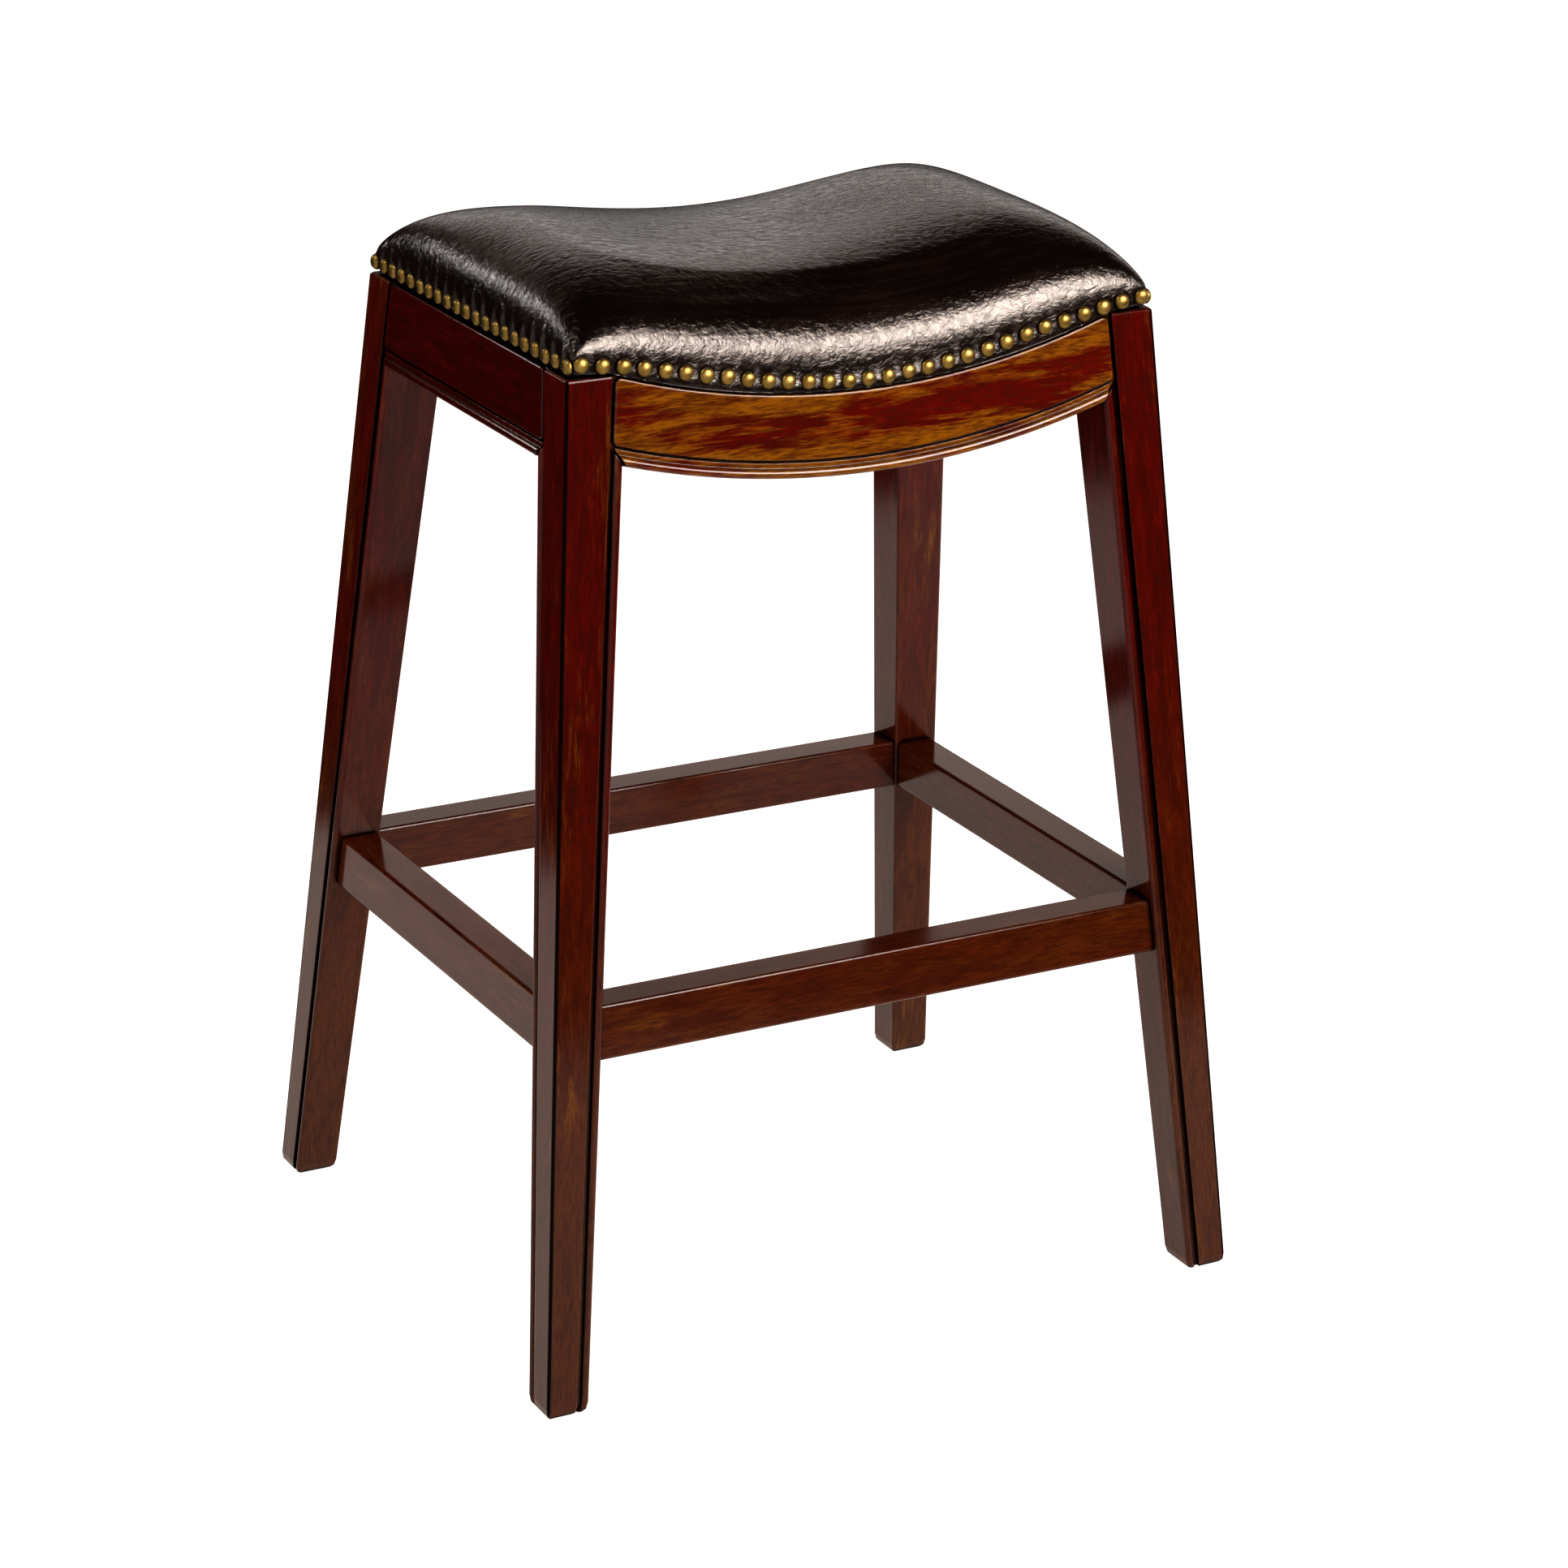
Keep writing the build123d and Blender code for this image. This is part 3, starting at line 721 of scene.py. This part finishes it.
def seat_section(share, half_depth, rows):
    """Points of half a section across the seat: distance from the middle and height."""
    turn = np.linspace(0, QUARTER, 2000)
    out = np.sin(turn) ** (2 / CROWN_POWER) * half_depth
    up = np.maximum(np.cos(turn), 0) ** (2 / CROWN_POWER) * crown_rise(share)
    index = even_places(out, up, rows + 1)
    steps = np.arange(len(turn))
    return np.interp(index, steps, out), np.interp(index, steps, up) + rim_line(share)


def round_corner(x, y, half_length, half_depth, radius):
    """Moves the plan's square corner on to a rounded one."""
    over_x = np.maximum(np.abs(x) - (half_length - radius), 0)
    over_y = np.maximum(np.abs(y) - (half_depth - radius), 0)
    reach = np.hypot(over_x, over_y)
    keep = np.where(reach > 0, np.maximum(over_x, over_y) / np.maximum(reach, 1e-9), 1)
    return (
        x - np.sign(x) * over_x * (1 - keep),
        y - np.sign(y) * over_y * (1 - keep))


def seat_grid(half_length, half_depth, columns, rows):
    """The crown as a grid of points, from left to right and from front to back."""
    stations = seat_stations(half_length, columns)
    grid = np.zeros((2 * columns + 1, 2 * rows + 1, 3))
    for column, share in enumerate(stations):
        out, up = seat_section(share, half_depth, rows)
        for side_x in (-1, 1):
            line = grid[columns + side_x * column]
            line[:, 0] = side_x * share * half_length
            line[rows:, 1], line[rows:, 2] = out, up
            line[rows::-1, 1], line[rows::-1, 2] = -out, up
    grid[..., 0], grid[..., 1] = round_corner(
        grid[..., 0], grid[..., 1], half_length, half_depth, CORNER_RADIUS)
    return grid


def border(columns, rows):
    """The grid's border, once round, as indices into its points."""
    wide, deep = 2 * columns, 2 * rows
    loop = [(c, 0) for c in range(wide)] + [(wide, r) for r in range(deep)]
    loop += [(c, deep) for c in range(wide, 0, -1)] + [(0, r) for r in range(deep, 0, -1)]
    return [c * (deep + 1) + r for c, r in loop]


def seat_skin_mesh(inset, columns, rows, lip_level, wall_rows, under_rows=0, turn_under=0):
    """Points and faces of the seat's skin, from its crown down its walls and in under its edge."""
    half_length = seat_high.x - inset
    half_depth = seat_high.y - inset
    grid = seat_grid(half_length, half_depth, columns, rows)
    grid[..., 2] -= inset
    points = [Vector(p) for p in grid.reshape(-1, 3)]
    deep = 2 * rows + 1
    faces = []
    for c in range(2 * columns):
        for r in range(2 * rows):
            first = c * deep + r
            faces.append((first, first + deep, first + deep + 1, first + 1))
    ring = border(columns, rows)
    top = [points[i].copy() for i in ring]
    foot = [Vector((p.x, p.y, float(saddle_line(p.x, lip_level)))) for p in top]
    for step in range(1, wall_rows + 1):
        ring = add_ring(points, faces, ring, [a.lerp(b, step / wall_rows) for a, b in zip(top, foot)])
    for step in range(1, under_rows + 1):
        shift = turn_under * step / under_rows
        turned = []
        for p in foot:
            x = p.x * (1 - shift / half_length)
            y = p.y * (1 - shift / half_depth)
            turned.append(Vector((x, y, float(saddle_line(x, lip_level)))))
        ring = add_ring(points, faces, ring, turned)
    return points, faces, ring


def add_ring(points, faces, ring, places):
    """Adds a ring of points under a ring, with the faces between."""
    start = len(points)
    points.extend(places)
    fresh = [start + i for i in range(len(ring))]
    for i in range(len(ring)):
        j = (i + 1) % len(ring)
        faces.append((ring[i], ring[j], fresh[j], fresh[i])[::-1])
    return fresh


def mesh_object(name, points, faces, smooth=True):
    """A new object with this mesh, in the scene."""
    mesh = bpy.data.meshes.new(name)
    mesh.from_pydata(points, [], faces)
    mesh.update()
    set_smooth(mesh, smooth)
    piece = bpy.data.objects.new(name, mesh)
    bpy.context.scene.collection.objects.link(piece)
    return piece


def set_smooth(mesh, smooth=True):
    """Shades a mesh's faces as round, or as flat."""
    mesh.polygons.foreach_set("use_smooth", [smooth] * len(mesh.polygons))


def read_points(mesh, field="co"):
    """A mesh's points, or their normals with the field normal."""
    places = np.zeros(len(mesh.vertices) * 3)
    mesh.vertices.foreach_get(field, places)
    return places.reshape(-1, 3)


def write_points(mesh, places):
    mesh.vertices.foreach_set("co", np.asarray(places, np.float32).ravel())
    mesh.update()


def apply_modifiers(piece):
    """Turns a piece's modifiers into its plain mesh."""
    graph = bpy.context.evaluated_depsgraph_get()
    made = bpy.data.meshes.new_from_object(piece.evaluated_get(graph))
    piece.modifiers.clear()
    old = piece.data
    piece.data = made
    bpy.data.meshes.remove(old)


def blow_up(skin, pinned, pressure, cap):
    """Pushes the skin outwards like a filled cushion and keeps each point within the cap."""
    start = read_points(skin.data)
    outward = read_points(skin.data, "normal")
    group = skin.vertex_groups.new(name="nailed")
    group.add(pinned, 1.0, "REPLACE")
    cloth = skin.modifiers.new("Cloth", "CLOTH")
    for name, value in LEATHER_CLOTH.items():
        setattr(cloth.settings, name, value)
    cloth.settings.uniform_pressure_force = pressure
    cloth.settings.effector_weights.gravity = 0
    cloth.collision_settings.use_collision = False
    for number in range(1, SWELL_FRAMES + 1):
        bpy.context.scene.frame_set(number)
    graph = bpy.context.evaluated_depsgraph_get()
    moved = read_points(skin.evaluated_get(graph).data) - start
    skin.modifiers.clear()
    skin.vertex_groups.clear()
    bpy.context.scene.frame_set(1)
    swell = np.clip(np.sum(moved * outward, axis=1), -SINK_CAP, cap)
    write_points(skin.data, start + outward * swell[:, None])


def smooth_step(value):
    value = np.clip(value, 0, 1)
    return value * value * (3 - 2 * value)


def row_size(long_side):
    """How many nails a row has, and its length."""
    nails = bpy.context.scene.stool_nails
    if long_side:
        return nails.front_count, nails.front_span
    return nails.side_count, nails.side_span


def row_places(count, span):
    return (np.arange(count) / (count - 1) - 0.5) * span


def nail_height(along, long_side):
    """Height of the nails' centres along a row."""
    nails = bpy.context.scene.stool_nails
    board_edge = LEG_HEIGHT + BOARD_LEVEL
    if not long_side:
        return np.full_like(along, board_edge + nails.side_level)
    climb = np.sin(QUARTER * along / nails.front_wave) ** 2
    return board_edge + nails.front_low + (nails.front_high - nails.front_low) * climb


def pull(skin):
    """Presses the leather in at the nails and pleats it above them."""
    mesh = skin.data
    points = read_points(mesh)
    normals = read_points(mesh, "normal")
    drift = np.zeros(len(points))
    dice = np.random.default_rng(PULL_SEED)
    for long_side in (True, False):
        count, span = row_size(long_side)
        heights, swells = LONG_PLEATS if long_side else SHORT_PLEATS
        row, wall = (0, 1) if long_side else (1, 0)
        along, across = points[:, row], points[:, wall]
        base = nail_height(along, long_side)
        pitch = span / (count - 1)
        for side in (-1, 1):
            inset = seat_high[wall] - side * across
            near = (inset < PULL_IN) & (inset > -PULL_OUT)
            up = points[:, 2] - base + PULL_SLOPE * np.maximum(inset, 0)
            for place in row_places(count, span):
                away = np.hypot(along - place, up)
                drift -= near * DENT_DEPTH * np.exp(-((away / DENT_RADIUS) ** 2))
            for place in row_places(count, span)[:-1] + pitch / 2:
                tall = dice.uniform(*heights) * MM
                bold = dice.uniform(*swells) * MM
                lean = dice.uniform(-PLEAT_LEAN, PLEAT_LEAN)
                climb = np.clip(up / tall, 0, 1)
                width = (PLEAT_WIDTH - PLEAT_TAPER * climb) * MM
                offset = along - place - lean * up
                ridge = np.exp(-((offset / width) ** 2)) * (1 - climb) ** 0.8
                rise = smooth_step((up + PLEAT_START) / PLEAT_START)
                drift += near * bold * ridge * rise
    write_points(mesh, points + normals * np.maximum(drift, -DENT_CAP)[:, None])


def seat_leather():
    """Glossy espresso leather with a crinkled grain, faint streaks and a few creases."""
    tones = bpy.context.scene.stool_seat
    leather = Finish("espresso_leather")
    place = leather.place()
    grain = leather.noise(place, (480, 480, 480), detail=3, roughness=0.6, distortion=0.6)
    crinkle = leather.noise(place, (140, 190, 165), detail=4, roughness=0.60, distortion=1.4)
    streak = leather.noise(place, (18, 240, 90), detail=5, roughness=0.6, distortion=0.5)
    cloud = leather.noise(place, (14, 20, 14), detail=3)
    bend = leather.noise(place, (24, 30, 24), detail=3, distortion=1.5)
    line = leather.maths("ABSOLUTE", bend - 0.5)
    crease = (1 - leather.step(line, 0.0, 0.012)) * leather.step(cloud, 0.52, 0.60)
    tint = leather.step(streak * 0.65 + cloud * 0.35, 0.42, 0.66)
    colour = leather.mix(tint * 0.75, tones.tone, tones.worn)
    height = grain * 0.15 + crinkle * 0.85 + streak * 0.04 - crease * 0.05
    # The leather near its nails and under its edge is dulled to the dark matte: painted shade
    return leather.surface(
        leather.step(leather.hollow(14 * MM), 0.80, 0.46) * 0.92,
        Base_Color=colour,
        Roughness=leather.step(crinkle * 0.7 + cloud * 0.3, 0.3, 0.7) * 0.07 + 0.185,
        Normal=leather.bump(height, CRINKLE_DEPTH),
        Specular_IOR_Level=0.38,
        Specular_Tint=(1.0, 0.90, 0.84, 1.0))


def foam_finish():
    foam = Finish("seat_foam")
    cells = foam.noise(foam.place(), (800, 800, 800), detail=3)
    return foam.surface(
        Base_Color=foam.mix(cells, (0.62, 0.54, 0.34), (0.80, 0.72, 0.50)),
        Roughness=0.95,
        Normal=foam.bump(cells, 0.4 * MM))


class STOOL_OT_seat(bpy.types.Operator):
    """Make the foam and the leather that is pulled over it and nailed down"""

    bl_idname = "stool.seat"
    bl_label = "Seat"

    def execute(self, context):
        self.make_leather(context.scene.stool_seat)
        self.make_foam(context.scene.stool_seat)
        return {"FINISHED"}

    def make_leather(self, seat):
        columns, rows = (round(run / seat.mesh_step) for run in CROWN_RUN)
        slack = 1.6 * MM
        points, faces, _ = seat_skin_mesh(
            slack, columns, rows, LIP_LEVEL, wall_rows=2, under_rows=5, turn_under=TURN_UNDER)
        skin = mesh_object("seat_leather", points, faces)
        grid_size = (2 * columns + 1) * (2 * rows + 1)
        pinned = sorted(set(border(columns, rows)) | set(range(grid_size, len(points))))
        blow_up(skin, pinned, seat.pressure, seat.swell_cap)
        places = read_points(skin.data)
        places[:, :2] *= (seat_high.x / (seat_high.x - slack), seat_high.y / (seat_high.y - slack))
        write_points(skin.data, places)
        finer = skin.modifiers.new("Finer", "SUBSURF")
        finer.levels = finer.render_levels = 1
        apply_modifiers(skin)
        pull(skin)
        thicken(skin, seat.thickness, -1)
        set_smooth(skin.data)
        skin.data.materials.append(seat_leather())
        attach(skin, BODY)
        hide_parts("leather_cover")

    def make_foam(self, seat):
        columns, rows = 40, 30
        level = 19 * MM
        inset = seat.thickness + 8 * MM
        points, faces, ring = seat_skin_mesh(inset, columns, rows, BOARD_LEVEL, wall_rows=1)
        for p in points:
            p.z = max(p.z, float(saddle_line(p.x, level)))
        faces.append(tuple(ring))
        foam = mesh_object("seat_foam", points, faces)
        close_form(foam)
        foam.data.materials.append(foam_finish())
        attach(foam, BODY)
        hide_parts("foam_pad")


def close_form(piece):
    """Merges doubled points and points the faces of a closed form outwards."""
    form = bmesh.new()
    form.from_mesh(piece.data)
    bmesh.ops.remove_doubles(form, verts=form.verts, dist=0.02 * MM)
    bmesh.ops.triangulate(form, faces=[f for f in form.faces if len(f.verts) > 4])
    bmesh.ops.recalc_face_normals(form, faces=form.faces)
    form.to_mesh(piece.data)
    form.free()


# Nails


def antique_brass():
    """Old gold nail heads, darker towards their edges and in small pits."""
    brass = Finish("old_brass")
    place = brass.place()
    cloud = brass.noise(place, (190, 190, 190), detail=3)
    speck = brass.noise(place, (1500, 1500, 1500), detail=3, roughness=0.6)
    colour = brass.mix(brass.step(cloud, 0.3, 0.7), (0.165, 0.108, 0.032), (0.235, 0.160, 0.055))
    colour = brass.mix(brass.step(speck, 0.60, 0.74) * 0.5, colour, (0.12, 0.08, 0.02))
    dull = brass.step(brass.hollow(2.5 * MM), 0.85, 0.35)
    colour = brass.mix(dull * 0.8, colour, (0.05, 0.032, 0.010))
    return brass.surface(
        Base_Color=colour,
        Metallic=1.0,
        Roughness=brass.step(cloud * 0.5 + speck * 0.5, 0.3, 0.7) * 0.08 + 0.40,
        Normal=brass.bump(speck, 0.03 * MM))


def nail_form(diameter, height, sides=20):
    """One nail as a turned form: a dome with a small rolled edge, and its shank."""
    half = diameter / 2
    profile = []
    for step in range(DOME_STEPS + 1):
        turn = QUARTER * step / DOME_STEPS
        profile.append((half * math.sin(turn), height * math.cos(turn) ** 0.9))
    profile += [(half - 0.4 * MM, -0.25 * MM), (0.9 * MM, -0.2 * MM), (0.8 * MM, -7 * MM), (0, -9 * MM)]
    form = bmesh.new()
    rings = []
    for out, up in profile:
        turns = [2 * math.pi / sides * i for i in range(sides if out else 1)]
        rings.append([form.verts.new((out * math.cos(turn), out * math.sin(turn), up)) for turn in turns])
    for upper, lower in zip(rings, rings[1:]):
        for i in range(sides):
            j = (i + 1) % sides
            corners = [ring[k % len(ring)] for ring, k in ((upper, i), (lower, i), (lower, j), (upper, j))]
            form.faces.new(list(dict.fromkeys(corners)))
    bmesh.ops.recalc_face_normals(form, faces=form.faces)
    mesh = bpy.data.meshes.new("nail_form")
    form.to_mesh(mesh)
    form.free()
    set_smooth(mesh)
    return bpy.data.objects.new("nail_form", mesh)


NAIL_INPUTS = (
    ("Count", "NodeSocketInt"),
    ("Span", "NodeSocketFloat"),
    ("Wall", "NodeSocketFloat"),
    ("Low", "NodeSocketFloat"),
    ("High", "NodeSocketFloat"),
    ("Wave", "NodeSocketFloat"),
    ("Turn", "NodeSocketFloat"),
    ("Looseness", "NodeSocketFloat"),
    ("Seed", "NodeSocketInt"),
    ("Nail", "NodeSocketObject"),
    ("Brass", "NodeSocketMaterial"),
)


def nail_row_tree():
    """Geometry nodes for one row of nails along the saddle, made at the front and turned to its side."""
    tree = bpy.data.node_groups.new("Nail row", "GeometryNodeTree")
    face = tree.interface
    face.new_socket("Geometry", in_out="INPUT", socket_type="NodeSocketGeometry")
    for name, kind in NAIL_INPUTS:
        face.new_socket(name, in_out="INPUT", socket_type=kind)
    face.new_socket("Geometry", in_out="OUTPUT", socket_type="NodeSocketGeometry")
    nodes = Nodes(tree)
    entry = tree.nodes.new("NodeGroupInput")
    given = {name: Tone(nodes, entry.outputs[name]) for name, kind in NAIL_INPUTS}

    def vector(x, y, z):
        return nodes.make("ShaderNodeCombineXYZ", None, {0: x, 1: y, 2: z})

    def chance(low, high, salt):
        return nodes.make("FunctionNodeRandomValue", {"data_type": "FLOAT"}, {
            2: low, 3: high, "Seed": given["Seed"] + salt}, 1)

    half = given["Span"] * 0.5
    line = nodes.make("GeometryNodeMeshLine", {"mode": "END_POINTS"}, {
        "Count": given["Count"], "Start Location": vector(half * -1, 0, 0), "Offset": vector(half, 0, 0)})
    across = nodes.axis(nodes.make("GeometryNodeInputPosition"), "X")
    wave = nodes.maths("SINE", across / given["Wave"] * QUARTER)
    height = given["Low"] + (given["High"] - given["Low"]) * wave * wave
    shift = chance(-1.0, 1.0, 3) * given["Looseness"]
    lift = chance(-1.0, 1.0, 5) * given["Looseness"] * 0.8
    placed = nodes.make("GeometryNodeSetPosition", None, {
        "Geometry": line, "Position": vector(across + shift, given["Wall"] * -1, height + lift)})
    tilt = vector(
        chance(QUARTER - NAIL_LEAN, QUARTER + NAIL_LEAN, 8), chance(-NAIL_LEAN, NAIL_LEAN, 9), 0.0)
    size = chance(*NAIL_SIZES, 12)
    nail = nodes.make("GeometryNodeObjectInfo", {"transform_space": "ORIGINAL"}, {
        "Object": given["Nail"]}, "Geometry")
    nails = nodes.make("GeometryNodeInstanceOnPoints", None, {
        "Points": placed, "Instance": nail, "Rotation": tilt, "Scale": vector(size, size, size)})
    turned = nodes.make("GeometryNodeTransform", None, {
        "Geometry": nails, "Rotation": vector(0, 0, given["Turn"])})
    real = nodes.make("GeometryNodeRealizeInstances", None, {"Geometry": turned})
    brassed = nodes.make("GeometryNodeSetMaterial", None, {"Geometry": real, "Material": given["Brass"]})
    nodes.make("NodeGroupOutput", None, {"Geometry": brassed})
    return tree


class STOOL_OT_nails(bpy.types.Operator):
    """Set the rows of brass nails along the seat's walls"""

    bl_idname = "stool.nails"
    bl_label = "Nails"

    def execute(self, context):
        nails = context.scene.stool_nails
        tree = nail_row_tree()
        brass = antique_brass()
        nail = nail_form(nails.diameter, nails.height)
        context.scene.collection.objects.link(nail)
        for number, side in enumerate(SIDES):
            long_row = side in ("front", "back")
            count, span = row_size(long_row)
            row = mesh_object(f"brass_nails_{side}", [(0, 0, 0)], [])
            given = {
                "Count": count,
                "Span": span,
                "Wall": seat_high.y if long_row else seat_high.x,
                "Low": LEG_HEIGHT + BOARD_LEVEL + (nails.front_low if long_row else nails.side_level),
                "High": LEG_HEIGHT + BOARD_LEVEL + (nails.front_high if long_row else nails.side_level),
                "Wave": nails.front_wave,
                "Turn": number * QUARTER,
                "Looseness": nails.looseness,
                "Seed": nails.seed + 31 * number,
                "Nail": nail,
                "Brass": brass,
            }
            grow = row.modifiers.new("Nail row", "NODES")
            grow.node_group = tree
            for item in tree.interface.items_tree:
                if item.in_out == "INPUT" and item.name in given:
                    grow[item.identifier] = given[item.name]
            apply_modifiers(row)
            set_smooth(row.data)
            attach(row, BODY)
            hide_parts(f"nails_{side}")
        bpy.data.objects.remove(nail)
        return {"FINISHED"}


# Stage


def soft_light(name, place, target, size, power, tone, lights, shines):
    """A large soft lamp that looks at a target, and lights it, shines in its gloss, or both."""
    lamp = bpy.data.lights.new(name, "AREA")
    lamp.shape = "RECTANGLE"
    lamp.size, lamp.size_y = size
    lamp.energy = power
    lamp.color = tone
    light = bpy.data.objects.new(name, lamp)
    light.location = place
    light.rotation_euler = (Vector(target) - Vector(place)).to_track_quat("-Z", "Y").to_euler()
    light.visible_camera = False
    light.visible_diffuse = lights
    light.visible_glossy = shines
    bpy.context.scene.collection.objects.link(light)


def dark_card(name, start, end, height):
    """A black card that stands on the floor and is seen only in reflections."""
    corners = [(*start, 0), (*end, 0), (*end, height), (*start, height)]
    card = mesh_object(name, corners, [(0, 1, 2, 3)], smooth=False)
    felt = Finish(name)
    nap = felt.noise(felt.place(), (400, 400, 400), detail=2)
    card.data.materials.append(felt.surface(
        Base_Color=felt.mix(nap, (0.004, 0.004, 0.004), (0.008, 0.008, 0.008)),
        Roughness=1.0,
        Specular_IOR_Level=0.0))
    card.visible_camera = False
    card.visible_diffuse = False
    card.visible_shadow = False
    card.visible_transmission = False


def studio_world():
    """A studio that is pale near the floor and darker overhead."""
    world = bpy.data.worlds.new("Studio")
    world.use_nodes = True
    bpy.context.scene.world = world
    world.node_tree.nodes.clear()
    nodes = Nodes(world.node_tree)
    toward = nodes.make("ShaderNodeTexCoord", output="Generated")
    tone = nodes.make("ShaderNodeValToRGB", {"stops": STUDIO_STOPS}, {0: nodes.axis(toward, "Z")})
    light = nodes.make("ShaderNodeBackground", None, {"Color": tone, "Strength": STUDIO_STRENGTH})
    nodes.make("ShaderNodeOutputWorld", None, {"Surface": light})


class STOOL_OT_stage(bpy.types.Operator):
    """Make the floor, the lights and the camera"""

    bl_idname = "stool.stage"
    bl_label = "Stage"

    def execute(self, context):
        stage = context.scene.stool_stage
        context.scene.view_settings.view_transform = "Standard"
        context.scene.view_settings.look = "High Contrast"
        self.make_camera(context, stage)
        if stage.show_floor:
            self.make_floor(stage)
        studio_world()
        for lamp in LAMPS:
            soft_light(*lamp)
        for card in CARDS:
            dark_card(*card)
        return {"FINISHED"}

    def make_camera(self, context, stage):
        lens = bpy.data.cameras.new("camera")
        lens.lens = stage.lens
        lens.sensor_width = SENSOR_WIDTH
        lens.clip_end = 100
        camera = bpy.data.objects.new("camera", lens)
        away = CAMERA_RIGHT.cross(CAMERA_UP)
        turn = Matrix((CAMERA_RIGHT, CAMERA_UP, away)).transposed().to_4x4()
        camera.matrix_world = Matrix.Translation(stage.place) @ turn
        context.scene.collection.objects.link(camera)
        context.scene.camera = camera

    def make_floor(self, stage):
        corners = [(x * FLOOR_REACH, y * FLOOR_REACH, 0) for x, y in ((-1, -1), (1, -1), (1, 1), (-1, 1))]
        floor = mesh_object("floor", corners, [(0, 1, 2, 3)], smooth=False)
        paint = Finish("pale_floor")
        cloud = paint.noise(paint.place(), (3, 3, 3), detail=2)
        tone = stage.floor_tone
        floor.data.materials.append(paint.surface(
            Base_Color=paint.mix(cloud * 0.3, (tone, tone, tone), (tone * 0.97,) * 3),
            Roughness=0.9,
            Specular_IOR_Level=0.0,
            Emission_Color=as_colour(STUDIO_TONE),
            Emission_Strength=stage.floor_glow))


class STOOL_PT_panel(bpy.types.Panel):
    """Lists the stool's pieces and their settings"""

    bl_idname = "STOOL_PT_panel"
    bl_label = "Bar stool"
    bl_space_type = "VIEW_3D"
    bl_region_type = "UI"
    bl_category = "Stool"

    def draw(self, context):
        for operator in OPERATORS:
            self.layout.operator(operator.bl_idname)
        for name in SETTINGS:
            settings = getattr(context.scene, name)
            box = self.layout.box()
            for key in settings.__annotations__:
                box.prop(settings, key)


OPERATORS = (
    STOOL_OT_legs, STOOL_OT_aprons, STOOL_OT_stretchers, STOOL_OT_understructure,
    STOOL_OT_seat, STOOL_OT_nails, STOOL_OT_stage)
SETTINGS = {
    "stool_wood": WoodSettings,
    "stool_seat": SeatSettings,
    "stool_nails": NailSettings,
    "stool_stage": StageSettings,
}


def register():
    for kind in (*SETTINGS.values(), *OPERATORS, STOOL_PT_panel):
        bpy.utils.register_class(kind)
    for name, kind in SETTINGS.items():
        setattr(bpy.types.Scene, name, PointerProperty(type=kind))


def unregister():
    for name in SETTINGS:
        delattr(bpy.types.Scene, name)
    for kind in (STOOL_PT_panel, *OPERATORS, *SETTINGS.values()):
        bpy.utils.unregister_class(kind)


def main():
    register()
    for operator in OPERATORS:
        group, name = operator.bl_idname.split(".")
        getattr(getattr(bpy.ops, group), name)()


if __name__ == "__main__":
    main()
